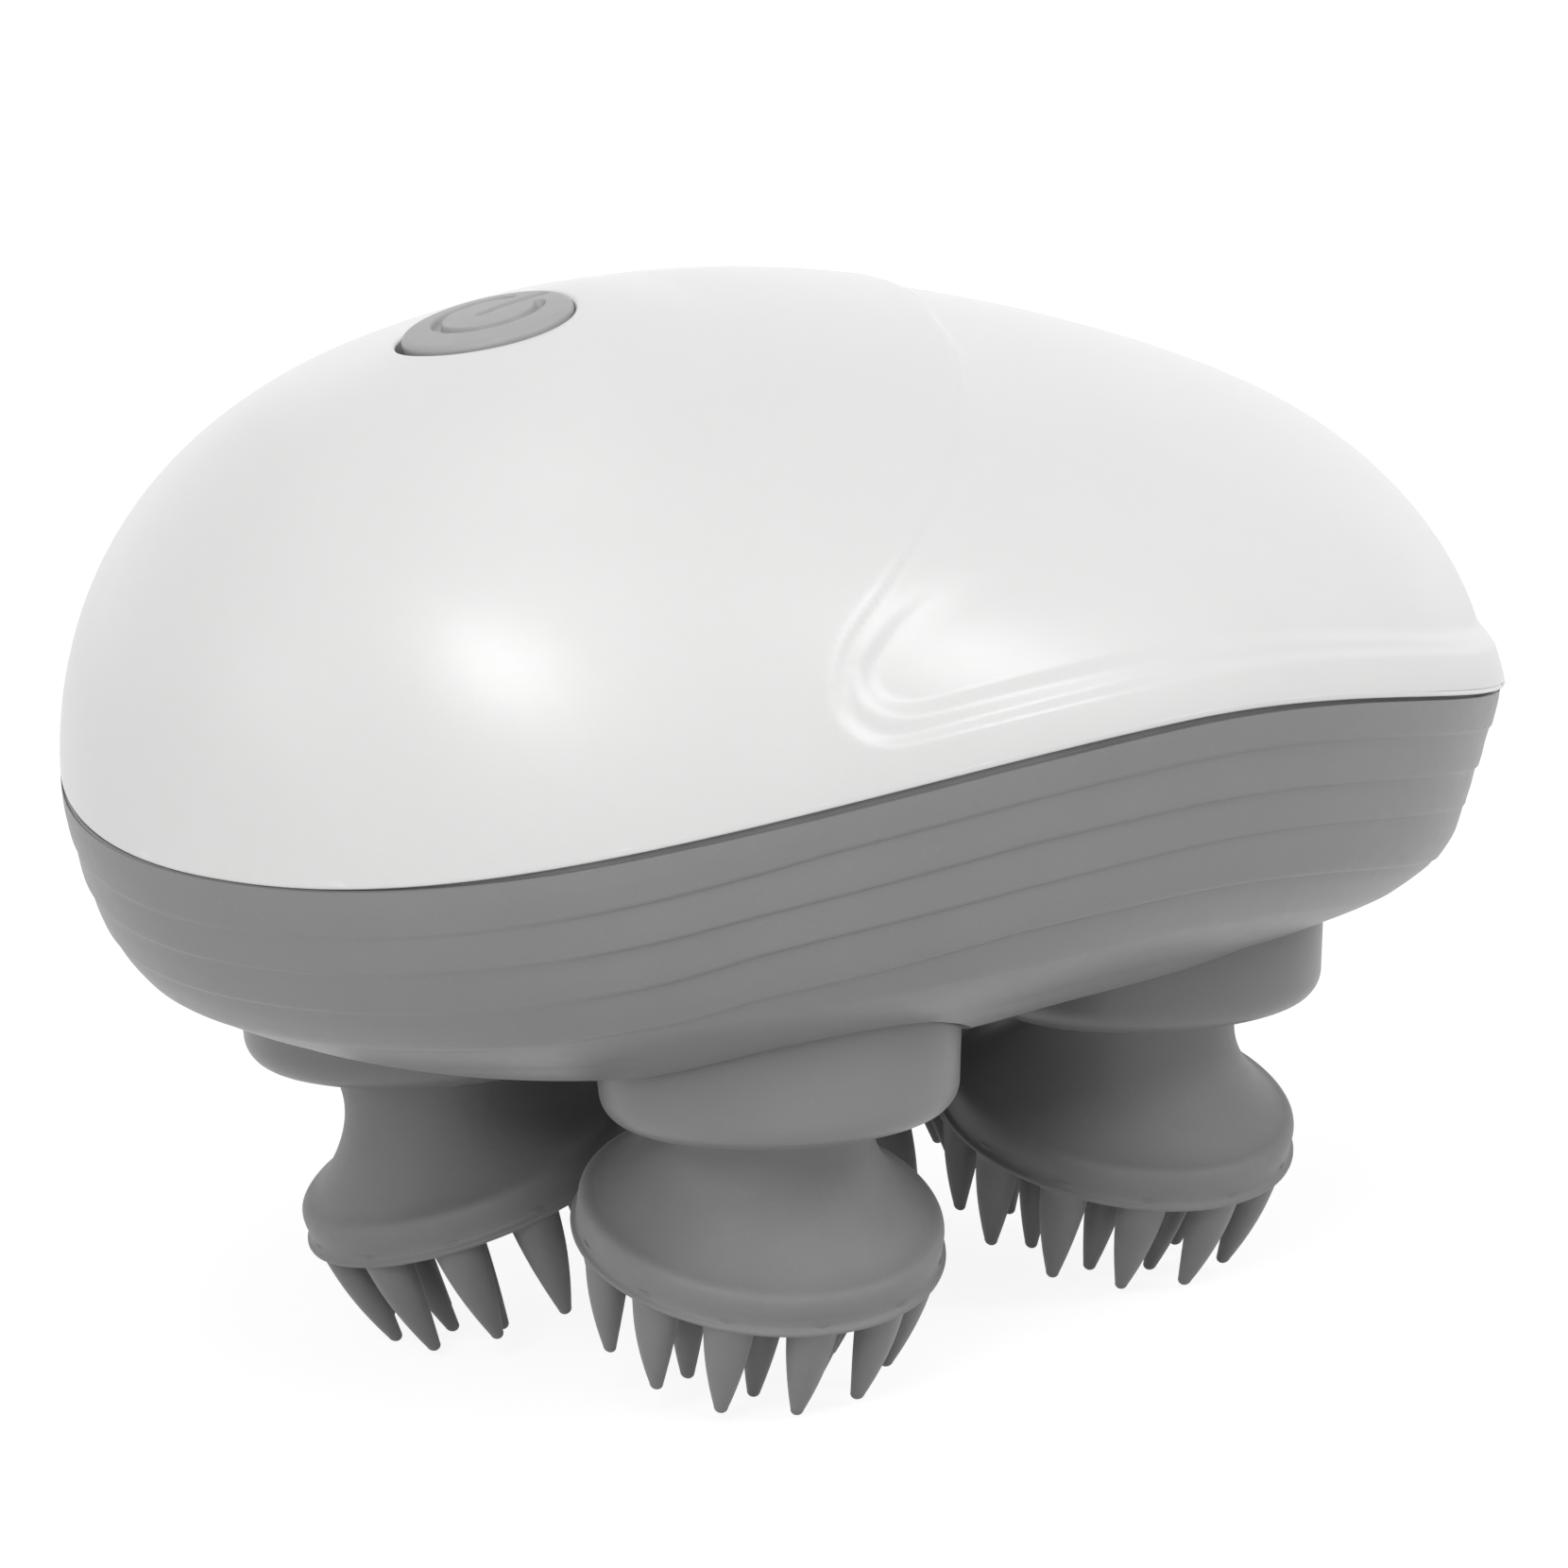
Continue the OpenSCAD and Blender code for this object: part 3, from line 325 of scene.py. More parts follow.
BOARD = material("board", (0.03, 0.16, 0.07), 0.35, 0.1, grain=0.006, coat=0.3)
SWITCH = material("switch_plastic", grey(0.03), 0.45, 0.1, grain=0.006)
CELL = material("cell_wrap", (0.08, 0.2, 0.35), 0.3, 0.05, grain=0.006, coat=0.4)
LEAD = material("lead_cover", (0.4, 0.05, 0.04), 0.4, 0.05, grain=0.004)
BY_SLOT = {
    "pearl_shell": PEARL, "grey_shell": GREY_SHELL, "grey_button": GREY_BUTTON, "silicone": SILICONE,
    "gasket_rubber": GASKET, "plug_rubber": PLUG, "nylon": NYLON, "hub_plastic": HUB, "steel": STEEL,
    "motor_steel": MOTOR_STEEL, "bronze": BRONZE, "board": BOARD, "switch_plastic": SWITCH,
    "cell_wrap": CELL, "lead_cover": LEAD,
}
SLOT_OF = {p["node"]: p["material_slot"] for p in frame["record"]["subparts"]}
for node, obj in frame["nodes"].items():
    for entry in obj.material_slots:
        entry.material = BY_SLOT[SLOT_OF[node]]


# ---------------------------------------------------------------- upper shell
AROUND = 560  # points around the housing
# Front edge of the recess: degrees up the side, and where along the body the edge is there.
FRONT_UP = (-90, 10, 12.2, 14.4, 16.3, 17.8, 19.1, 22.7, 26.7, 30.1, 36.8, 44.4, 50.6, 57.8, 65.9, 75.3, 90)
FRONT_X = (
    -34.1, -34.1, -33.8, -33.2, -32.2, -31.1, -29.7, -25.2, -20.2,
    -16.8, -10.5, -4.8, -1.3, 1.6, 4.7, 8.3, 10.6,
)
FRONT_AWAY = 32.0  # about how far the front edge runs from the line that the degrees turn about
RECESS_BORDER = 2.75  # how far over the seam the recess starts
RECESS_CORNER = 4.4  # how softly the front edge turns into the border
STEP_ONE, STEP_TWO = 0.36, 0.46  # depths of the recess's two steps
LIP_TOP = 0.4  # straight part of the shell over the seam
LIP = ((0.0, 0.16), (0.03, 0.08), (0.08, 0.03), (0.16, 0), (0.9, 0), (WALL, 0))  # inwards, and up
FLARE_OUT = 0.42  # how far the shell's border stands out at the tail
FADE_HEIGHT = 1.2  # height over the lip within which the recess grows to its depth
CURVE_STEPS, CURVE_REACH = 1441, 12  # samples of a table's curve, and how many on each side smooth it
CROWN_ROWS, CROWN_ROWS_INSIDE = 190, 30
TAIL_CLOSENESS = 0.32


def curve(v, xs, ys):
    """A table's value at v, with its corners smoothed."""
    steps = np.linspace(xs[0], xs[-1], CURVE_STEPS)
    values = np.interp(steps, xs, ys)
    weights = np.hanning(2 * CURVE_REACH + 1)
    soft = np.convolve(np.pad(values, CURVE_REACH, "edge"), weights / weights.sum(), "valid")
    return np.interp(v, steps, soft)


def ease(v, start, over):
    """Eases from 0 at start to 1 a distance over further on."""
    return smooth((v - start) / over)


def recess_front(up):
    """Where along the body the recess's front edge is, up degrees up the side."""
    return curve(up, FRONT_UP, FRONT_X)


def smooth_min(a, b, k):
    """The smaller of a and b, rounded off where they differ by less than k."""
    h = np.clip(0.5 + 0.5 * (b - a) / k, 0, 1)
    return b * (1 - h) + a * h - k * h * (1 - h)


def recess(x, y, z):
    """Depth of the recess: a crisp step, a ledge, and a second step that is wide at the front edge."""
    rise = z - seam_at(x)
    up = np.degrees(np.arctan2(rise, np.abs(y) + NOTHING))
    slope = (recess_front(up + 1) - recess_front(up - 1)) / (2 * math.radians(1)) / FRONT_AWAY
    from_front = (x - recess_front(up)) / np.sqrt(1 + slope ** 2)
    from_border = rise - RECESS_BORDER
    inside = smooth_min(from_front, from_border, RECESS_CORNER)
    front = ease(from_border, from_front, 6) * ease(up, 9, 14)
    top = ease(up, 22, 40)
    tail = ease(x, -20, 60)
    ends = np.maximum(front, tail)
    first_width = 0.9 + 0.2 * tail + 0.2 * top
    first_depth = STEP_ONE * (1 + 0.45 * top)
    ledge_end, second_width = 1.6 - 0.8 * ends, 1.3 + 2.6 * front + 0.1 * tail
    second_depth = (STEP_TWO - 0.38 * top) * (1 - 0.35 * front)
    return first_depth * smooth(inside / first_width) + second_depth * ease(inside, ledge_end, second_width)


def flare(x, rise):
    """How far the border of the upper shell stands out at a height over the seam."""
    return FLARE_OUT * ease(x, 5, 45) * np.clip(1 - rise / RECESS_BORDER, 0, 1)


def outline_normal(a):
    """The outline's outward normals at the angles a."""
    x, y = plan(a)
    dx, dy = np.gradient(x), np.gradient(y)
    length = np.hypot(dx, dy) + NOTHING
    return dy / length, -dx / length


def outline_angles(n):
    """Angles around the outline, twice as close together near the tail as at the nose."""
    u = np.linspace(-1, 1, n, endpoint=False)
    return math.pi * (u - TAIL_CLOSENESS * np.sin(math.pi * u) / math.pi)


def rows_normals(p):
    """Unit normals of a grid of rows of closed rings, pointing up and out."""
    du = np.roll(p, -1, 1) - np.roll(p, 1, 1)
    dv = np.empty_like(p)
    dv[1:-1] = p[2:] - p[:-2]
    dv[0] = p[1] - p[0]
    dv[-1] = p[-1] - p[-2]
    n = np.cross(dv, du)
    n /= np.linalg.norm(n, axis=2, keepdims=True) + LEAST
    centre = np.array([0, 0, SEAM_Z])
    flip = np.sign(np.sum(n * (p - centre), 2, keepdims=True))
    return n * np.where(flip == 0, 1, flip)


def crest(x):
    """Height of the crown over the body's middle line."""
    return float(crown_at(np.array(x), np.array(0.0)))


SLOPE_STEP = 1.0
BUTTON_Z = crest(BUTTON_X)
BUTTON_SLOPE = math.atan((crest(BUTTON_X + SLOPE_STEP) - crest(BUTTON_X - SLOPE_STEP)) / (2 * SLOPE_STEP))
BUTTON_FRAME = (
    Matrix.Translation((BUTTON_X, 0, BUTTON_Z))
    @ Matrix.Rotation(-BUTTON_SLOPE - SEAT_TIP_X, 4, "Y")
    @ Matrix.Rotation(-SEAT_TIP_Y, 4, "X")
)


def seat(x, y):
    """How much the crown is raised around the button, which makes it flush with the tipped face."""
    dx = x - BUTTON_X
    near = smooth((SEAT_REACH - np.hypot(dx, y)) / (SEAT_REACH - BUTTON_R))
    return near * (math.tan(SEAT_TIP_X) * dx - math.tan(SEAT_TIP_Y) * y)


def crown_rows(inset, near, count, hole_r, border):
    """Rings from the button's hole to the seam: one at each distance in near, then count more."""
    a = outline_angles(AROUND)
    ox, oy = plan(a, inset)
    heading = np.arctan2(oy, ox - BUTTON_X)
    ix = BUTTON_X + hole_r(heading) * np.cos(heading) * math.cos(BUTTON_SLOPE)
    iy = hole_r(heading) * np.sin(heading)
    span = np.hypot(ox - ix, oy - iy)
    first = near[-1] / span
    shares = [d / span for d in near]
    shares += [first + (1 - first) * np.sin(math.pi / 2 * s) for s in np.linspace(0, 1, count + 1)[1:]]
    grid = []
    for w in shares:
        x, y = ix + (ox - ix) * w, iy + (oy - iy) * w
        z = np.maximum(crown_at(x, y, inset), seam_at(x) + border) + seat(x, y)
        grid.append(np.stack([x, y, z], 1))
    return np.array(grid)


def upper_shell():
    """Pearl shell with the button's hole, the recess at its rear and a border that flares to the tail."""
    near = [0, 0.03, 0.08, 0.15, 0.25, 0.4, 0.6, 0.9, 1.3, 1.8, 2.4]
    edge = 0.35  # radius of the rounded edge of the hole
    tighter, nose_room = 0.12, 0.3

    def hole(a):
        """Radius of the hole, a little longer towards the nose."""
        return BUTTON_HOLE_R - tighter + nose_room * np.maximum(0, -np.cos(a)) ** 4

    outer = crown_rows(0, near, CROWN_ROWS, hole, LIP_TOP)
    normals = rows_normals(outer)
    depth = recess(outer[..., 0], outer[..., 1], outer[..., 2])
    fade = smooth((outer[..., 2] - seam_at(outer[..., 0]) - LIP_TOP) / FADE_HEIGHT)
    outer = outer - normals * (depth * fade)[..., None]
    flat = normals[..., :2] / (np.linalg.norm(normals[..., :2], axis=2, keepdims=True) + NOTHING)
    outer[..., :2] += flat * flare(outer[..., 0], outer[..., 2] - seam_at(outer[..., 0]))[..., None]
    for j, d in enumerate(near):
        drop = edge - math.sqrt(max(0, edge * edge - max(0, edge - d) ** 2))
        outer[j, :, 2] -= drop
    inner = crown_rows(WALL, [0], CROWN_ROWS_INSIDE, hole, 0)
    a = outline_angles(AROUND)
    nx, ny = outline_normal(a)
    x, y = plan(a)
    lip = []
    for back, up in LIP:
        out = flare(x, up) - back
        lip.append(np.stack([x + nx * out, y + ny * out, seam_at(x) + up], 1))
    # Over the crown from the hole, around the lip and back up inside. The hole's wall closes the rings.
    rings = [*outer, *lip, *inner[::-1]]
    points = np.concatenate(rings)
    faces = strips(AROUND, len(rings))
    last = (len(rings) - 1) * AROUND
    faces += [(last + i, last + (i + 1) % AROUND, (i + 1) % AROUND, i) for i in range(AROUND)]
    shell = mesh_object("upper_shell_piece", points, faces, sharp=40)
    finish_piece(shell, PEARL, "housing", ["upper_shell"])


upper_shell()


# ---------------------------------------------------------------- power button
FACE_CURVE = 92.0  # twice the radius of the face's slight dome
FACE_EDGE = 0.5
MARK_TURN, MARK_X, MARK_Y = math.radians(-14), 0.35, 0.2
MARK_R, MARK_STROKE, MARK_DEPTH, MARK_OPENING = 3.7, 0.76, 0.5, math.radians(30)
MARK_BAR = (-0.5, 4.7)
MARK_SPREAD, MARK_SIDE = 0.1, 0.26  # how far the groove's side starts outside the stroke, and its width
FLANGE_OUT, FLANGE_TOP, FLANGE_LOW = 0.9, -3.0, -3.7
STEM_R, STEM_LOW, STEM_TIP_R = 2.0, -4.1, 0.3


def button():
    """Grey cap with a slightly domed face, a rounded edge, and a power symbol let into it."""
    rings, around = 150, 360
    flat_r = BUTTON_R - FACE_EDGE
    rounding = FACE_EDGE * np.sin(np.linspace(0, math.pi / 2, 10)[1:])
    r = np.concatenate([np.linspace(0.02, flat_r, rings), flat_r + rounding])
    a = np.linspace(0, 2 * math.pi, around, endpoint=False)
    rr, aa = np.meshgrid(r, a, indexing="ij")
    x, y = rr * np.cos(aa), rr * np.sin(aa)
    z = BUTTON_RISE - rr ** 2 / FACE_CURVE
    fall = np.clip(rr - flat_r, 0, FACE_EDGE)
    z = z - (FACE_EDGE - np.sqrt(np.maximum(0, FACE_EDGE ** 2 - fall ** 2)))
    cos_turn, sin_turn = math.cos(MARK_TURN), math.sin(MARK_TURN)
    x, y = x * cos_turn + y * sin_turn - MARK_X, y * cos_turn - x * sin_turn - MARK_Y
    turn = np.abs(np.arctan2(y, x))
    along_ring = np.abs(np.hypot(x, y) - MARK_R)
    end_x, end_y = MARK_R * math.cos(MARK_OPENING), MARK_R * math.sin(MARK_OPENING)
    to_end = np.hypot(x - end_x, np.abs(y) - end_y)
    to_ring = np.where(turn > MARK_OPENING, along_ring, to_end)
    to_bar = np.hypot(x - np.clip(x, *MARK_BAR), y)
    near = np.minimum(to_ring, to_bar)
    z = z - MARK_DEPTH * smooth((MARK_STROKE / 2 + MARK_SPREAD - near) / MARK_SIDE)
    points = [(0, 0, z[0, 0])] + np.stack([rr * np.cos(aa), rr * np.sin(aa), z], 2).reshape(-1, 3).tolist()
    flange_r = BUTTON_R + FLANGE_OUT
    skirt = [(BUTTON_R, z[-1, 0] - 0.4), (BUTTON_R, FLANGE_TOP), (flange_r, FLANGE_TOP)]
    skirt += [(flange_r, FLANGE_LOW), (STEM_R, FLANGE_LOW), (STEM_R, STEM_LOW), (STEM_TIP_R, STEM_LOW)]
    for sr, sz in skirt:
        points += [(sr * math.cos(t), sr * math.sin(t), sz) for t in a]
    points.append((0, 0, skirt[-1][1]))
    rows = len(r) + len(skirt)
    faces = [(0, 1 + i, 1 + (i + 1) % around) for i in range(around)] + strips(around, rows, 1)
    last = 1 + (rows - 1) * around
    faces += [(len(points) - 1, last + (i + 1) % around, last + i) for i in range(around)]
    piece = mesh_object("power_button_piece", moved(points, BUTTON_FRAME), faces, sharp=50)
    finish_piece(piece, GREY_BUTTON, "button", ["power_button"])


button()


# ---------------------------------------------------------------- lower shell
# Depths of the four steps (0 at the seam, 1 at the bottom) along the body.
STEP_X = (-57, -52.7, -49.2, -44.8, -40, -35.4, -21, -3, 14, 30, 45, 57)
STEPS = (
    (0.188, 0.187, 0.179, 0.167, 0.151, 0.136, 0.124, 0.120, 0.117, 0.122, 0.135, 0.138),
    (0.338, 0.334, 0.328, 0.312, 0.289, 0.280, 0.256, 0.257, 0.254, 0.256, 0.272, 0.278),
    (0.495, 0.496, 0.480, 0.461, 0.421, 0.407, 0.387, 0.377, 0.371, 0.373, 0.390, 0.395),
    (0.675, 0.656, 0.630, 0.609, 0.565, 0.552, 0.513, 0.512, 0.512, 0.518, 0.535, 0.540),
)
STEP_DEPTH, STEP_RISER = 0.22, 0.2
EDGE_SHARES = (0, 0.01, 0.03, 0.07)  # rows close under a step line, as shares of a band
RIM_INSETS = (0.25, 0.6, WALL)  # rings of the bowl's upper edge, from the outside in
LINE_EDGE, SEAM_EDGE_IN, SEAM_EDGE_DOWN = 0.05, 0.12, 0.1  # how much edges are rounded
BOTTOM_SHARES = (0.06, 0.03, 0.01)  # rings that close the bottom, as shares of the outline
CUP_CLEAR = 0.02
GAP_X = (-57, -54, -49, -36, -16, -4, 12, 45, 57)
GAP = (0.1, 0.28, 0.52, 0.6, 0.6, 0.5, 0.3, 0.22, 0.22)  # between the shells at the seam
WELL_R = COLLAR_R + COLLAR_DRAFT + COLLAR_GAP
ROOF_Z = COLLAR_Z + COLLAR_HEIGHT + ROOF_GAP
SHAFT_HOLE_R = 4.0
PORT_Z, PORT_WIDTH, PORT_HEIGHT, PORT_CORNER = SEAM_Z - 12.6, 12.0, 6.4, 1.4
PORT_FROM, PORT_TO = 45, 60  # along the body, through the wall at the tail


def seam_clear(x):
    """Gap under the upper shell's lip."""
    return curve(x, GAP_X, GAP)


def tailward(px):
    """0 at the nose, 1 at the tail, for a point of the outline."""
    return smooth(px / LENGTH + 0.5)


def bowl_turns(px):
    """Share of the outline that the profile turns in by, and its power, for a point of the outline."""
    w = tailward(px)
    turn = BOWL_TURN[0] + (BOWL_TURN[1] - BOWL_TURN[0]) * w
    return turn, BOWL_POWER[0] + (BOWL_POWER[1] - BOWL_POWER[0]) * w


def bowl_share(t, px):
    """Size of the bowl at depth t, as a share of the outline."""
    turn, bend = bowl_turns(px)
    return 1 - turn * (1 - lame(t, bend))


def bowl_bulge(t, px):
    """How far the profile stands out from the plain curve at depth t."""
    w, steps = tailward(px), np.linspace(0, 1, len(BULGE_NOSE))
    return (1 - w) * curve(t, steps, BULGE_NOSE) + w * curve(t, steps, BULGE_TAIL)


def depth_at(x):
    """Depth of the bowl under the seam."""
    return BOWL_DEPTH - np.where(x < SEAM_PEAK_X, BOWL_RISE_NOSE, BOWL_RISE_TAIL) * along(x) ** 2


def bowl_row(a, t, inset, share=None):
    """Points of the bowl at angles a and depths t (0 at the seam, 1 at the bottom)."""
    px, py = plan(a, inset)
    s = bowl_share(t, px) if share is None else share
    x, y = px * s, py * s
    z = seam_at(x) - t * (depth_at(x) - inset)
    return np.stack(np.broadcast_arrays(x, y, z), -1)


def bowl_under(x, y):
    """Height of the bowl's surface over a point."""
    side = WIDTH / 2 * (1 + PLAN_FLARE * x / (LENGTH / 2))
    s = (np.abs(x / (LENGTH / 2)) ** PLAN_POWER + np.abs(y / side) ** PLAN_POWER) ** (1 / PLAN_POWER)
    turn, bend = bowl_turns(x / s)
    t = lame(np.clip(1 - (1 - s) / turn, 0, 1), bend)
    return seam_at(x) - t * depth_at(x)


def line_at(a, k):
    """Depth t of step line k."""
    return curve(plan(a)[0], STEP_X, STEPS[k])


def bowl_rows(a):
    """Rows of the outside from the seam to the bottom, and how far each goes in for steps and bulges."""
    lines = [np.zeros_like(a)] + [line_at(a, k) for k in range(len(STEPS))] + [np.ones_like(a)]
    riser = 0.5 * STEP_RISER / BOWL_DEPTH
    x = plan(a)[0]
    ends = np.maximum(ease(x, 22, 33), 0.7 * ease(-x, 44, 11))
    rows = []
    for k in range(len(lines) - 1):
        start, stop = lines[k], lines[k + 1]
        last = k == len(lines) - 2
        shares = [*EDGE_SHARES, *np.linspace(0.13, 0.87, 8), 0.93, 0.97, 0.99, 1]
        if last:
            shares = [*EDGE_SHARES, *np.sin(np.linspace(0.12, math.pi / 2, 70))]
        for v in shares:
            t = start + (stop - start) * v
            if k:
                t = t + riser * (1 - v)
            if not last:
                t = t - riser * v
            t = np.clip(t, 0, 1)
            fall = 0.5 if last else 1.1
            back = STEP_DEPTH * (1 - 0.7 * ends) * (1 - smooth(v / fall)) if k else 0.0
            edge = 0.0 if last else LINE_EDGE * ease(v, 0.96, 0.04)
            edge += SEAM_EDGE_IN if k == 0 and v == 0 else 0
            rows.append((bowl_row(a, t, 0), back + edge - bowl_bulge(t, x)))
    return rows


def lower_shell():
    """Grey bowl with step lines, a rim under the seam, four wells and the opening for the plug."""
    a = outline_angles(AROUND)
    rows = bowl_rows(a)
    outer = np.array([r for r, _ in rows])
    inward = -rows_normals(outer)
    outer = outer + inward * np.array([d for _, d in rows])[..., None]
    clear = seam_clear(outer[0, :, 0])
    outer[0, :, 2] -= clear + SEAM_EDGE_DOWN
    outer[1:, :, 2] -= clear * (1 - ease(np.arange(len(rows) - 1), 3, 6.0))[:, None]
    rim = []
    for inset in RIM_INSETS:
        x, y = plan(a, inset)
        rim.append(np.stack([x, y, seam_at(x) - seam_clear(x)], 1))
    floor_out = [bowl_row(a, np.ones_like(a), 0, share=s) for s in BOTTOM_SHARES]
    inside = [bowl_row(a, np.full_like(a, t), WALL) for t in np.sin(np.linspace(0.06, math.pi / 2, 26))]
    floor_in = [bowl_row(a, np.ones_like(a), WALL, share=s) for s in BOTTOM_SHARES[::2]]
    rings = [*floor_out[::-1], *outer[::-1], *rim, *inside, *floor_in]
    points = [tuple(floor_out[-1].mean(0))] + np.concatenate(rings).tolist() + [tuple(floor_in[-1].mean(0))]
    faces = [(0, 1 + (i + 1) % AROUND, 1 + i) for i in range(AROUND)] + strips(AROUND, len(rings), 1)
    last = 1 + (len(rings) - 1) * AROUND
    faces += [(len(points) - 1, last + i, last + (i + 1) % AROUND) for i in range(AROUND)]
    shell = mesh_object("lower_shell_piece", points, faces)
    low = COLLAR_Z - 4
    tool_points, tool_faces = lathe([(0, low), (WELL_R, low), (WELL_R, ROOF_Z), (0, ROOF_Z)], 256)
    for hx, hy, _ in HEADS.values():
        cut(shell, mesh_object("tool", moved(tool_points, Matrix.Translation((hx, hy, 0))), tool_faces))
    outline = port_outline(0, PORT_CORNER)
    n = len(outline)
    tool_points = [(x, y, PORT_Z + z) for x in (PORT_FROM, PORT_TO) for y, z in outline]
    tool_faces = [tuple(range(n)), tuple(range(n, 2 * n))] + strips(n, 2)
    cut(shell, mesh_object("tool", tool_points, tool_faces))
    shell.data.set_sharp_from_angle(angle=math.radians(34))
    for hx, hy, _ in HEADS.values():
        add_well(shell, hx, hy)
    finish_piece(shell, GREY_SHELL, "housing", ["lower_shell"])


def port_outline(gap, r):
    """Points (y, z) of the charging port's rounded rectangle, made smaller by gap on each side."""
    y, z = PORT_WIDTH / 2 - gap - r, PORT_HEIGHT / 2 - gap - r
    outline = []
    for cy, cz, start in ((y, z, 0), (-y, z, 90), (-y, -z, 180), (y, -z, 270)):
        outline += arc(cy, cz, r, start, start + 90, 9)
    return outline


def add_well(shell, hx, hy):
    """Joins a cup to the shell, from the middle of its wall up to a roof with a hole for the shaft."""
    n = 128
    a = np.linspace(0, 2 * math.pi, n, endpoint=False)
    outer_r, inner_r, top = WELL_R + WELL_WALL, WELL_R + CUP_CLEAR, ROOF_Z + WELL_ROOF
    profile = [(outer_r, None), (outer_r, top), (SHAFT_HOLE_R, top)]
    profile += [(SHAFT_HOLE_R, ROOF_Z), (inner_r, ROOF_Z), (inner_r, None)]
    rings = []
    for r, z in profile:
        x, y = hx + r * np.cos(a), hy + r * np.sin(a)
        low = bowl_under(x, y) + 0.5 * WALL
        rings.append(np.stack([x, y, low if z is None else np.full_like(x, z)], 1))
    faces = strips(n, len(rings))
    last = (len(rings) - 1) * n
    faces += [(last + i, last + (i + 1) % n, (i + 1) % n, i) for i in range(n)]
    join(shell, mesh_object("cup", np.concatenate(rings), faces, sharp=30))


def join(obj, other):
    """Adds the faces of other to obj."""
    work = bmesh.new()
    work.from_mesh(obj.data)
    work.from_mesh(other.data)
    work.to_mesh(obj.data)
    work.free()
    bpy.data.objects.remove(other)


lower_shell()


# ---------------------------------------------------------------- gasket
# Section of the gasket: how far inside the outline, and how far over the seam.
GASKET_SECTION = ((0.7, -1.0), (0.5, -0.7), (0.5, -0.1), (0.7, 0.05), (2.0, 0.05), (2.1, -0.4), (2.0, -1.0))


def gasket():
    """Dark rubber ring that fills the gap between the shells, a little way in."""
    a = outline_angles(AROUND)
    rings = []
    for inset, up in GASKET_SECTION:
        x, y = plan(a, inset)
        rings.append(np.stack([x, y, seam_at(x) + up], 1))
    faces = strips(AROUND, len(rings))
    last = (len(rings) - 1) * AROUND
    faces += [(last + i, last + (i + 1) % AROUND, (i + 1) % AROUND, i) for i in range(AROUND)]
    ring = mesh_object("seam_gasket_piece", np.concatenate(rings), faces)
    finish_piece(ring, GASKET, "housing", ["seam_gasket"])


gasket()


# ---------------------------------------------------------------- collars and heads
# Profile of a head from its neck down, as (radius, height from the pivot).
NECK_R, NECK_TOP = 7.0, 2.3
FLARE = (
    (NECK_R, NECK_TOP), (NECK_R, -2.2), (7.15, -3.6), (7.6, -5.0), (8.3, -6.3),
    (9.2, -7.5), (10.2, -8.55), (11.2, -9.35), (11.9, -9.75),
)
RIM = (
    (12.35, -9.93), (12.68, -10.12), (12.92, -10.42), (13.04, -10.85),
    (13.05, -11.4), (13.0, -11.9), (13.02, -12.35),
)
LIP_R, LIP_Z = 13.4, -13.1
LIP_EDGE = (
    (13.12, -12.58), (13.28, -12.66), (13.38, -12.74), (LIP_R, -12.84),
    (13.37, -12.96), (13.25, -13.04), (13.0, LIP_Z),
)
POCKET_TOP, POCKET_GAP = 4.2, 0.25
COLLAR_UNDER_RINGS = (9.5, 6)  # split the flat underside, through which the pocket is cut
CLAW_DEPTH, CLAW_TIP_R, CLAW_ROOT_RING, CLAW_TIP_RING = 21.5, 0.5, 11.3, 10.3
OUTER_CLAWS, INNER_CLAWS, INNER_RING, INNER_LONGER = 12, 8, 7.3, 0.8
OUTER_ROOT, INNER_ROOT = (1.6, 1.85), (1.5, 1.6)  # half a claw's width at its root, radially and sideways
CLAW_AROUND, CLAW_ROWS, CLAW_SINK, CLAW_TAPER = 24, 26, 0.9, 1.6
TIP_LEAN, TIP_FLAT = 0.08, 0.12
FILLET, FILLET_REACH = 0.2, 0.04  # extra width at a claw's root, and the share of its length it fades over
BEND = (0.35, 0.65)  # shares of a claw's lean that grow evenly and with the square
# How far single claws differ: in tip radius, lean, sideways lean, place around the ring and length.
TIP_SPREAD, LEAN_SPREAD, SIDE_SPREAD, TURN_SPREAD, LENGTH_SPREAD = 0.06, 0.12, 0.14, 0.012, 0.006


def head_place(name):
    """Frame of a head, with its origin at the pivot and its axis along the tilted pin."""
    hx, hy, phase = HEADS[name]
    return (
        Matrix.Translation((hx, hy, PIVOT_Z))
        @ Matrix.Rotation(math.radians(phase), 4, "Z")
        @ Matrix.Rotation(-TILT, 4, "Y")
    )


def spline(points, steps):
    """Catmull-Rom curve through profile points."""
    p = np.array(points, float)
    p = np.vstack([2 * p[0] - p[1], p, 2 * p[-1] - p[-2]])
    out = []
    for i in range(1, len(p) - 2):
        for s in np.linspace(0, 1, steps, endpoint=False):
            a, b, c, d = p[i - 1 : i + 3]
            square, cube = 2 * a - 5 * b + 4 * c - d, 3 * b - a - 3 * c + d
            out.append(0.5 * (2 * b + (c - a) * s + square * s ** 2 + cube * s ** 3))
    out.append(p[-2])
    return [tuple(v) for v in out]


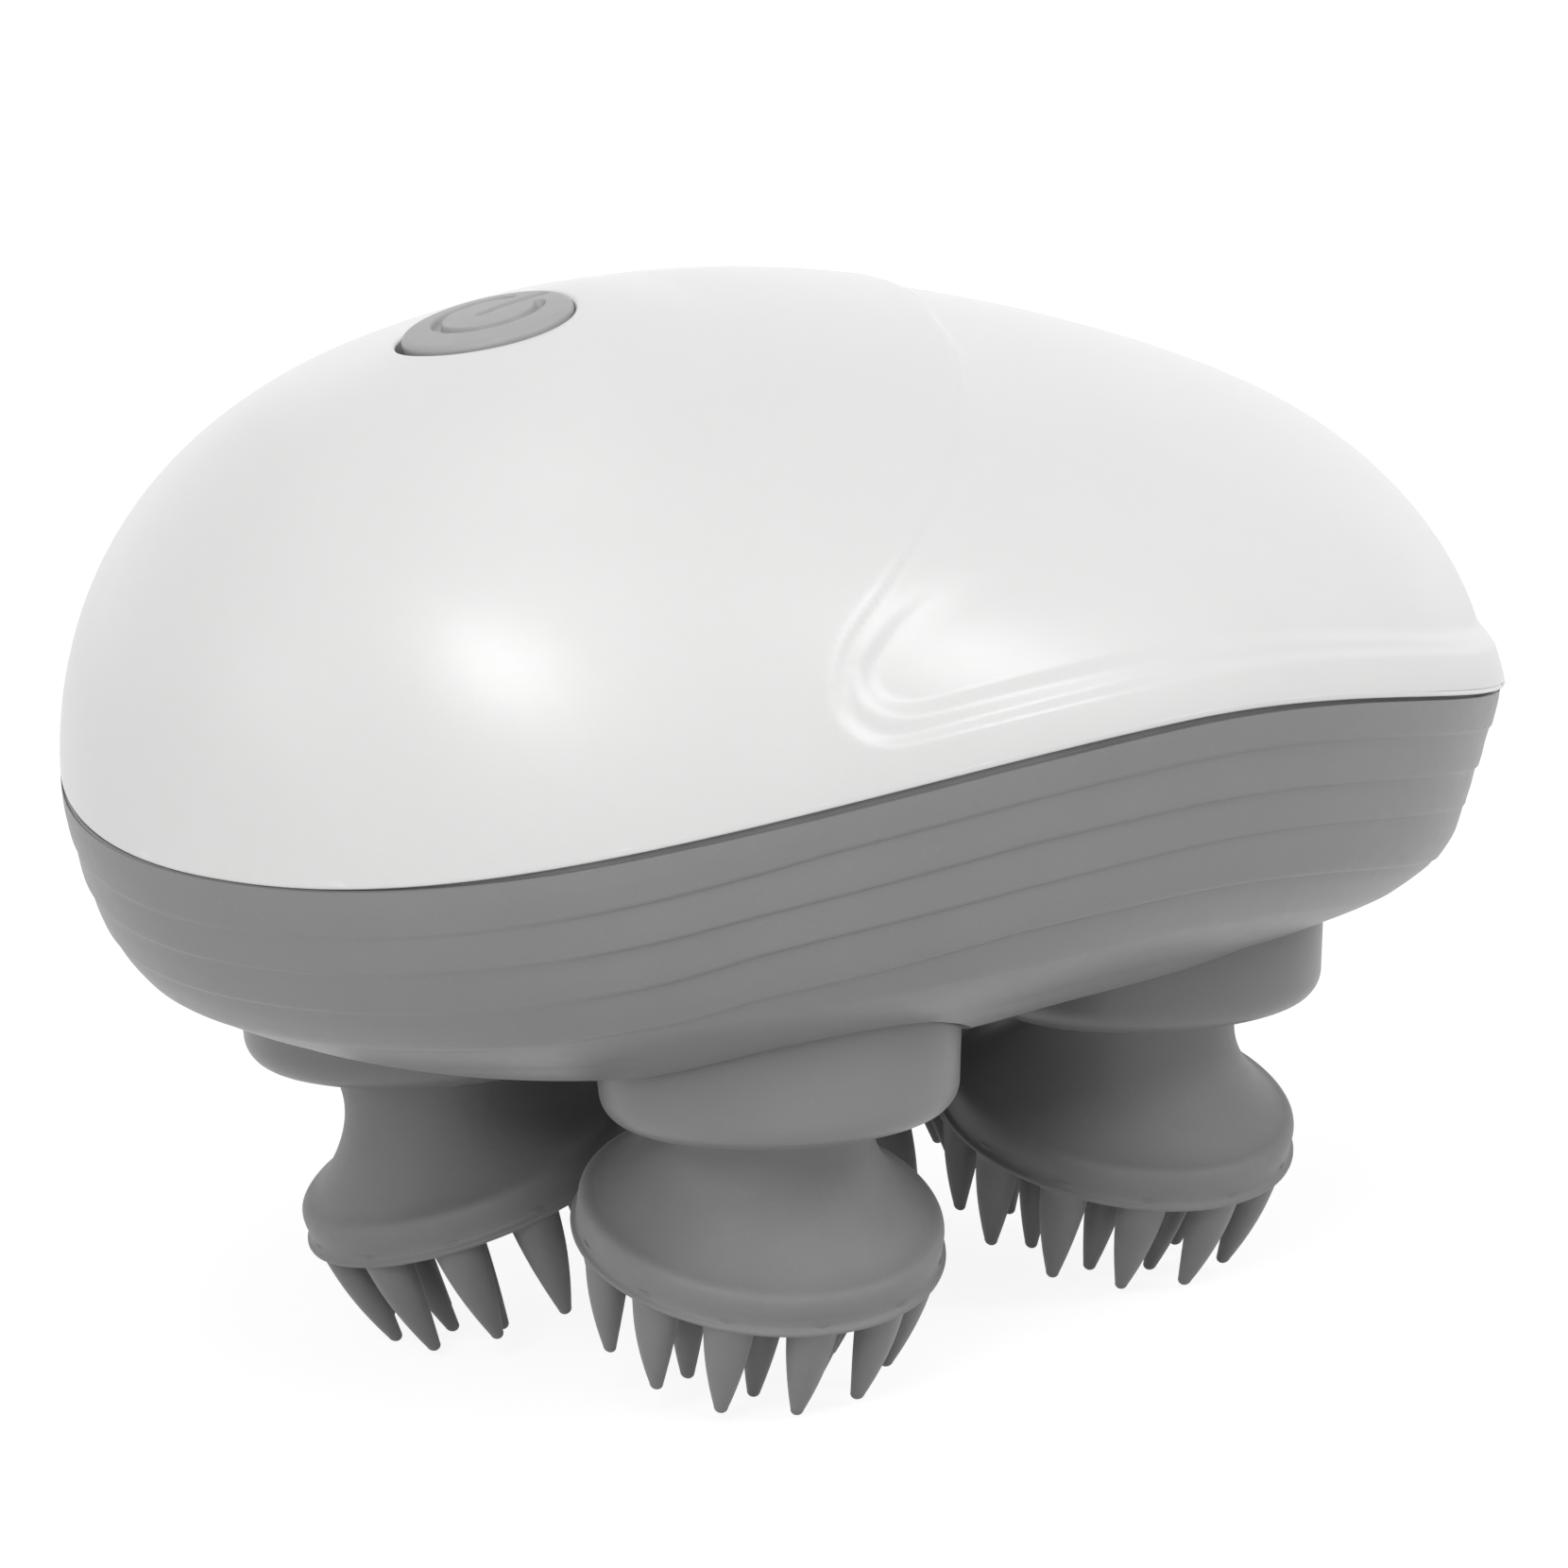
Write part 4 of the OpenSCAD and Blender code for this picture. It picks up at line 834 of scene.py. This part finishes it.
def collar(name):
    """Ring that turns with the output gear, with a tilted pocket for the head's neck."""
    hx, hy, _ = HEADS[name]
    top, low = COLLAR_Z + COLLAR_HEIGHT, COLLAR_Z
    side = COLLAR_R + COLLAR_DRAFT
    edge = 0.3  # radius of the upper edge
    profile = [(0, top), (side - edge, top), *arc(side - edge, top - edge, edge, 80, 10, 4)]
    profile += arc(COLLAR_R - COLLAR_ROUND, low + COLLAR_ROUND, COLLAR_ROUND, 0, -90, 14)
    profile += [*((r, low) for r in COLLAR_UNDER_RINGS), (0, low)]
    points, faces = lathe(profile, 256)
    piece = mesh_object("collar_piece_" + name, moved(points, Matrix.Translation((hx, hy, 0))), faces)
    pocket = [(0, POCKET_TOP), (NECK_R + POCKET_GAP, POCKET_TOP)]
    pocket += [*((r + POCKET_GAP, z) for r, z in FLARE[1:7]), (0, FLARE[6][1])]
    points, faces = lathe(pocket, 192)
    cut(piece, mesh_object("tool", moved(points, head_place(name)), faces))
    piece.data.set_sharp_from_angle(angle=math.radians(35))
    finish_piece(piece, GREY_SHELL, "output_" + name, ["collar_" + name])


def add_claw(points, faces, angle, ring, roots, depth, chance):
    """A claw from inside the disc to its rounded tip, wider at its root and bent towards the head's axis."""
    n, steps = CLAW_AROUND, CLAW_ROWS
    u = np.array([math.cos(angle), math.sin(angle)])
    v = np.array([-u[1], u[0]])
    start, tip_r = LIP_Z + CLAW_SINK, CLAW_TIP_R * (1 + chance.uniform(-TIP_SPREAD, TIP_SPREAD))
    lean_in = (CLAW_ROOT_RING - CLAW_TIP_RING) * (1 + chance.uniform(-LEAN_SPREAD, LEAN_SPREAD))
    lean_side = chance.uniform(-SIDE_SPREAD, SIDE_SPREAD)
    rows = []
    length = depth + LIP_Z
    for k in range(steps + 1):
        s = k / steps
        fillet = FILLET * math.exp(-s / FILLET_REACH)
        radial, side = (r + (tip_r - r) * s ** CLAW_TAPER + fillet for r in roots)
        centre = u * (ring - lean_in * (BEND[0] * s + BEND[1] * s * s)) + v * lean_side * s * s
        z = LIP_Z - (length - tip_r) * s
        if k == 0:
            rows.append((centre, start, radial, side))
        rows.append((centre, z, radial, side))
    centre, z = rows[-1][0], rows[-1][1]
    for b in np.linspace(0, math.pi / 2, 7)[1:-1]:
        round_r = tip_r * math.cos(b)
        rows.append((centre - u * TIP_LEAN * math.sin(b), z - tip_r * math.sin(b), round_r, round_r))
    base = len(points)
    for c, z, radial, side in rows:
        for i in range(n):
            b = 2 * math.pi * i / n
            q = c + u * radial * math.cos(b) + v * side * math.sin(b)
            points.append((q[0], q[1], z))
    tip_z = rows[-1][1] - tip_r * TIP_FLAT
    points.append((centre[0] - u[0] * TIP_LEAN, centre[1] - u[1] * TIP_LEAN, tip_z))
    faces += strips(n, len(rows), base)
    last = base + (len(rows) - 1) * n
    faces += [(len(points) - 1, last + i, last + (i + 1) % n) for i in range(n)]
    points.append((rows[0][0][0], rows[0][0][1], start))
    faces += [(len(points) - 1, base + (i + 1) % n, base + i) for i in range(n)]


def massage_head(name, index):
    """Silicone head: neck, trumpet-shaped flare, rim, thin lip and two rings of claws."""
    chance = random.Random(40 + index)
    outer_turn, inner_turn = (math.radians(v) for v in CLAW_TURNS[name])
    profile = [(0, NECK_TOP), FLARE[0], *spline(FLARE[1:] + RIM, 6), *LIP_EDGE, (0, LIP_Z)]
    points, faces = lathe(profile, 256)
    for i in range(OUTER_CLAWS):
        angle = outer_turn + 2 * math.pi * i / OUTER_CLAWS + chance.uniform(-TURN_SPREAD, TURN_SPREAD)
        depth = CLAW_DEPTH * (1 + chance.uniform(-LENGTH_SPREAD, 0))
        add_claw(points, faces, angle, CLAW_ROOT_RING, OUTER_ROOT, depth, chance)
    for i in range(INNER_CLAWS):
        angle = inner_turn + 2 * math.pi * i / INNER_CLAWS + chance.uniform(-TURN_SPREAD, TURN_SPREAD)
        add_claw(points, faces, angle, INNER_RING, INNER_ROOT, CLAW_DEPTH + INNER_LONGER, chance)
    piece = mesh_object("massage_head_piece_" + name, moved(points, head_place(name)), faces, sharp=50)
    finish_piece(piece, SILICONE, "head_" + name, ["massage_head_" + name])


for number, head in enumerate(HEADS):
    collar(head)
    massage_head(head, number)


# ---------------------------------------------------------------- port plug
PLUG_GAP, PLUG_CORNER, PLUG_SINK, PLUG_BEVEL = 0.2, 1.3, 0.06, 0.25
FACE_SHARES = (0.1, 0.3, 0.5, 0.65, 0.8, 0.9, 0.95, 0.985, 1)  # rings of the face, from its middle out
NAIL_LOW, NAIL_HALF_Y, NAIL_HALF_Z, NAIL_DEPTH = 1.6, 3.2, 1.1, 0.5
TONGUE_LENGTH, TONGUE_Y, TONGUE_Z = 3.2, 0.62, 0.3  # its width and height are shares of the plug's


def face_x(y, z):
    """Where the outside of the bowl's tail is."""
    x = np.full_like(y, LENGTH / 2)
    for _ in range(12):
        t = np.clip((seam_at(x) - z) / depth_at(x), 0, 1)
        s = bowl_share(t, LENGTH / 2)
        side = (WIDTH / 2) * s * (1 + PLAN_FLARE)
        x = (LENGTH / 2) * s * lame(y / side, PLAN_POWER) + bowl_bulge(t, LENGTH / 2)
    return x


def port_plug():
    """Rubber plug in the charging port, with a nail recess, flush with the shell around it."""
    outline = np.array(port_outline(PLUG_GAP, PLUG_CORNER))
    rings = []
    for share in FACE_SHARES:
        y, z = outline[:, 0] * share, PORT_Z + outline[:, 1] * share
        x = face_x(y, z) - (PLUG_BEVEL if share == 1 else 0) - PLUG_SINK
        nail = smooth((NAIL_HALF_Z - np.abs(z - PORT_Z + NAIL_LOW)) / 0.5)
        nail = nail * smooth((NAIL_HALF_Y - np.abs(y)) / 0.8)
        rings.append(np.stack([x - NAIL_DEPTH * nail, y, z], 1))
    back_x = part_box("port_plug")[0].x / MM
    body_x = back_x + TONGUE_LENGTH
    for x, sy, sz in ((body_x, 1, 1), (body_x, TONGUE_Y, TONGUE_Z), (back_x, TONGUE_Y, TONGUE_Z)):
        rings.append(np.stack([np.full(len(outline), x), outline[:, 0] * sy, PORT_Z + outline[:, 1] * sz], 1))
    n = len(outline)
    points = [tuple(rings[0].mean(0))] + np.concatenate(rings).tolist() + [tuple(rings[-1].mean(0))]
    faces = [(0, 1 + i, 1 + (i + 1) % n) for i in range(n)] + strips(n, len(rings), 1)
    last = 1 + (len(rings) - 1) * n
    faces += [(len(points) - 1, last + (i + 1) % n, last + i) for i in range(n)]
    plug = mesh_object("port_plug_piece", points, faces, sharp=40)
    finish_piece(plug, PLUG, "plug", ["port_plug"])


port_plug()


# ---------------------------------------------------------------- studio
FLOOR_HALF, FLOOR_SINK = 1.6, 0.02  # half its width in metres, and how many mm it lies below zero
FLOOR_COLOUR, FLOOR_GLOW, FLOOR_GLOW_SHARE = 0.86, 1.25, 0.72
LAMP_TARGET, LAMP_DISTANCE = Vector((0, 0, 0.045)), 1.5
WORLD_SEEN, WORLD_FILL = 1.26, 0.14


def seen_directly(nodes, links):
    """1 for rays from the camera and from gloss, 0 for the others."""
    ray = nodes.new("ShaderNodeLightPath")
    either = nodes.new("ShaderNodeMath")
    either.operation = "MAXIMUM"
    links.new(ray.outputs["Is Camera Ray"], either.inputs[0])
    links.new(ray.outputs["Is Glossy Ray"], either.inputs[1])
    return either.outputs["Value"]


def floor():
    """Pale floor that glows for the camera and for gloss, and keeps a faint shadow."""
    half = FLOOR_HALF / MM
    points = [(x, y, -FLOOR_SINK) for x in (-half, half) for y in (-half, half)]
    plane = mesh_object("studio_floor", points, [(0, 2, 3, 1)])
    mat = bpy.data.materials.new("studio_floor")
    mat.use_nodes = True
    nodes, links = mat.node_tree.nodes, mat.node_tree.links
    shader = nodes["Principled BSDF"]
    shader.inputs["Base Color"].default_value = (*grey(FLOOR_COLOUR), 1)
    shader.inputs["Roughness"].default_value = 0.9
    shader.inputs["Specular IOR Level"].default_value = 0.1
    glow = nodes.new("ShaderNodeEmission")
    glow.inputs["Strength"].default_value = FLOOR_GLOW
    share = nodes.new("ShaderNodeMath")
    share.operation = "MULTIPLY"
    share.inputs[1].default_value = FLOOR_GLOW_SHARE
    both = nodes.new("ShaderNodeMixShader")
    links.new(seen_directly(nodes, links), share.inputs[0])
    links.new(share.outputs["Value"], both.inputs["Fac"])
    links.new(shader.outputs["BSDF"], both.inputs[1])
    links.new(glow.outputs["Emission"], both.inputs[2])
    links.new(both.outputs["Shader"], nodes["Material Output"].inputs["Surface"])
    plane.data.materials.append(mat)


def lamp(name, size, power_w, toward, shows):
    """A soft square lamp that shines on the object from a direction, and shows in its gloss or doesn't."""
    data = bpy.data.lights.new(name, "AREA")
    data.size = size
    data.energy = power_w
    obj = bpy.data.objects.new(name, data)
    bpy.context.scene.collection.objects.link(obj)
    direction = Vector(toward).normalized()
    obj.location = LAMP_TARGET + direction * LAMP_DISTANCE
    obj.rotation_euler = (-direction).to_track_quat("-Z", "Y").to_euler()
    obj.visible_glossy = shows


def studio_world():
    """Even fill on the object, and a brighter white for the camera and for gloss."""
    world = bpy.data.worlds.new("studio")
    world.use_nodes = True
    bpy.context.scene.world = world
    nodes, links = world.node_tree.nodes, world.node_tree.links
    nodes.clear()
    choose = nodes.new("ShaderNodeMixShader")
    links.new(seen_directly(nodes, links), choose.inputs["Fac"])
    for place, strength in ((1, WORLD_FILL), (2, WORLD_SEEN)):
        background = nodes.new("ShaderNodeBackground")
        background.inputs["Color"].default_value = (1, 1, 1, 1)
        background.inputs["Strength"].default_value = strength
        links.new(background.outputs["Background"], choose.inputs[place])
    out = nodes.new("ShaderNodeOutputWorld")
    links.new(choose.outputs["Shader"], out.inputs["Surface"])


floor()
lamp("left_lamp", 0.5, 5.9, (-0.79, -0.35, 0.50), True)
lamp("right_lamp", 0.5, 4.3, (0.28, -0.77, 0.57), True)
lamp("front_lamp", 0.6, 5.8, (-0.45, -0.396, 0.8), False)
lamp("top_lamp", 0.6, 1.6, (0, 0, 1.0), False)
lamp("back_lamp", 0.6, 1.2, (0.45, 0.396, 0.8), False)
lamp("right_back_lamp", 0.6, 1.4, (0.713, -0.371, 0.572), False)
lamp("left_low_lamp", 0.6, 3.3, (-0.912, 0.528, 0.138), False)
lamp("right_low_lamp", 0.6, 1.2, (0.4, -0.9, 0.1), False)
studio_world()

# ---------------------------------------------------------------- camera
# Fitted to the photo: the camera's turn from -Y towards +X, its height over the horizon, its roll, and
# where it is, in mm.
AZIMUTH, ELEVATION, ROLL = math.radians(-49), math.radians(11.5), math.radians(-2.2)
VIEW_FROM = (-521.317, -453.815, 156.236 + PIVOT_Z)
LENS, SENSOR = 223.16, 36

camera_place = (
    Matrix.Translation(Vector(VIEW_FROM) * MM)
    @ Matrix.Rotation(AZIMUTH, 4, "Z")
    @ Matrix.Rotation(math.pi / 2 - ELEVATION, 4, "X")
    @ Matrix.Rotation(ROLL, 4, "Z")
)
camera = bpy.data.objects.new("camera", bpy.data.cameras.new("camera"))
camera.data.lens, camera.data.sensor_width = LENS, SENSOR
camera.data.clip_start, camera.data.clip_end = 0.05, 10
bpy.context.scene.collection.objects.link(camera)
camera.matrix_world = camera_place
bpy.context.scene.camera = camera
bpy.context.scene.view_settings.view_transform = "Standard"
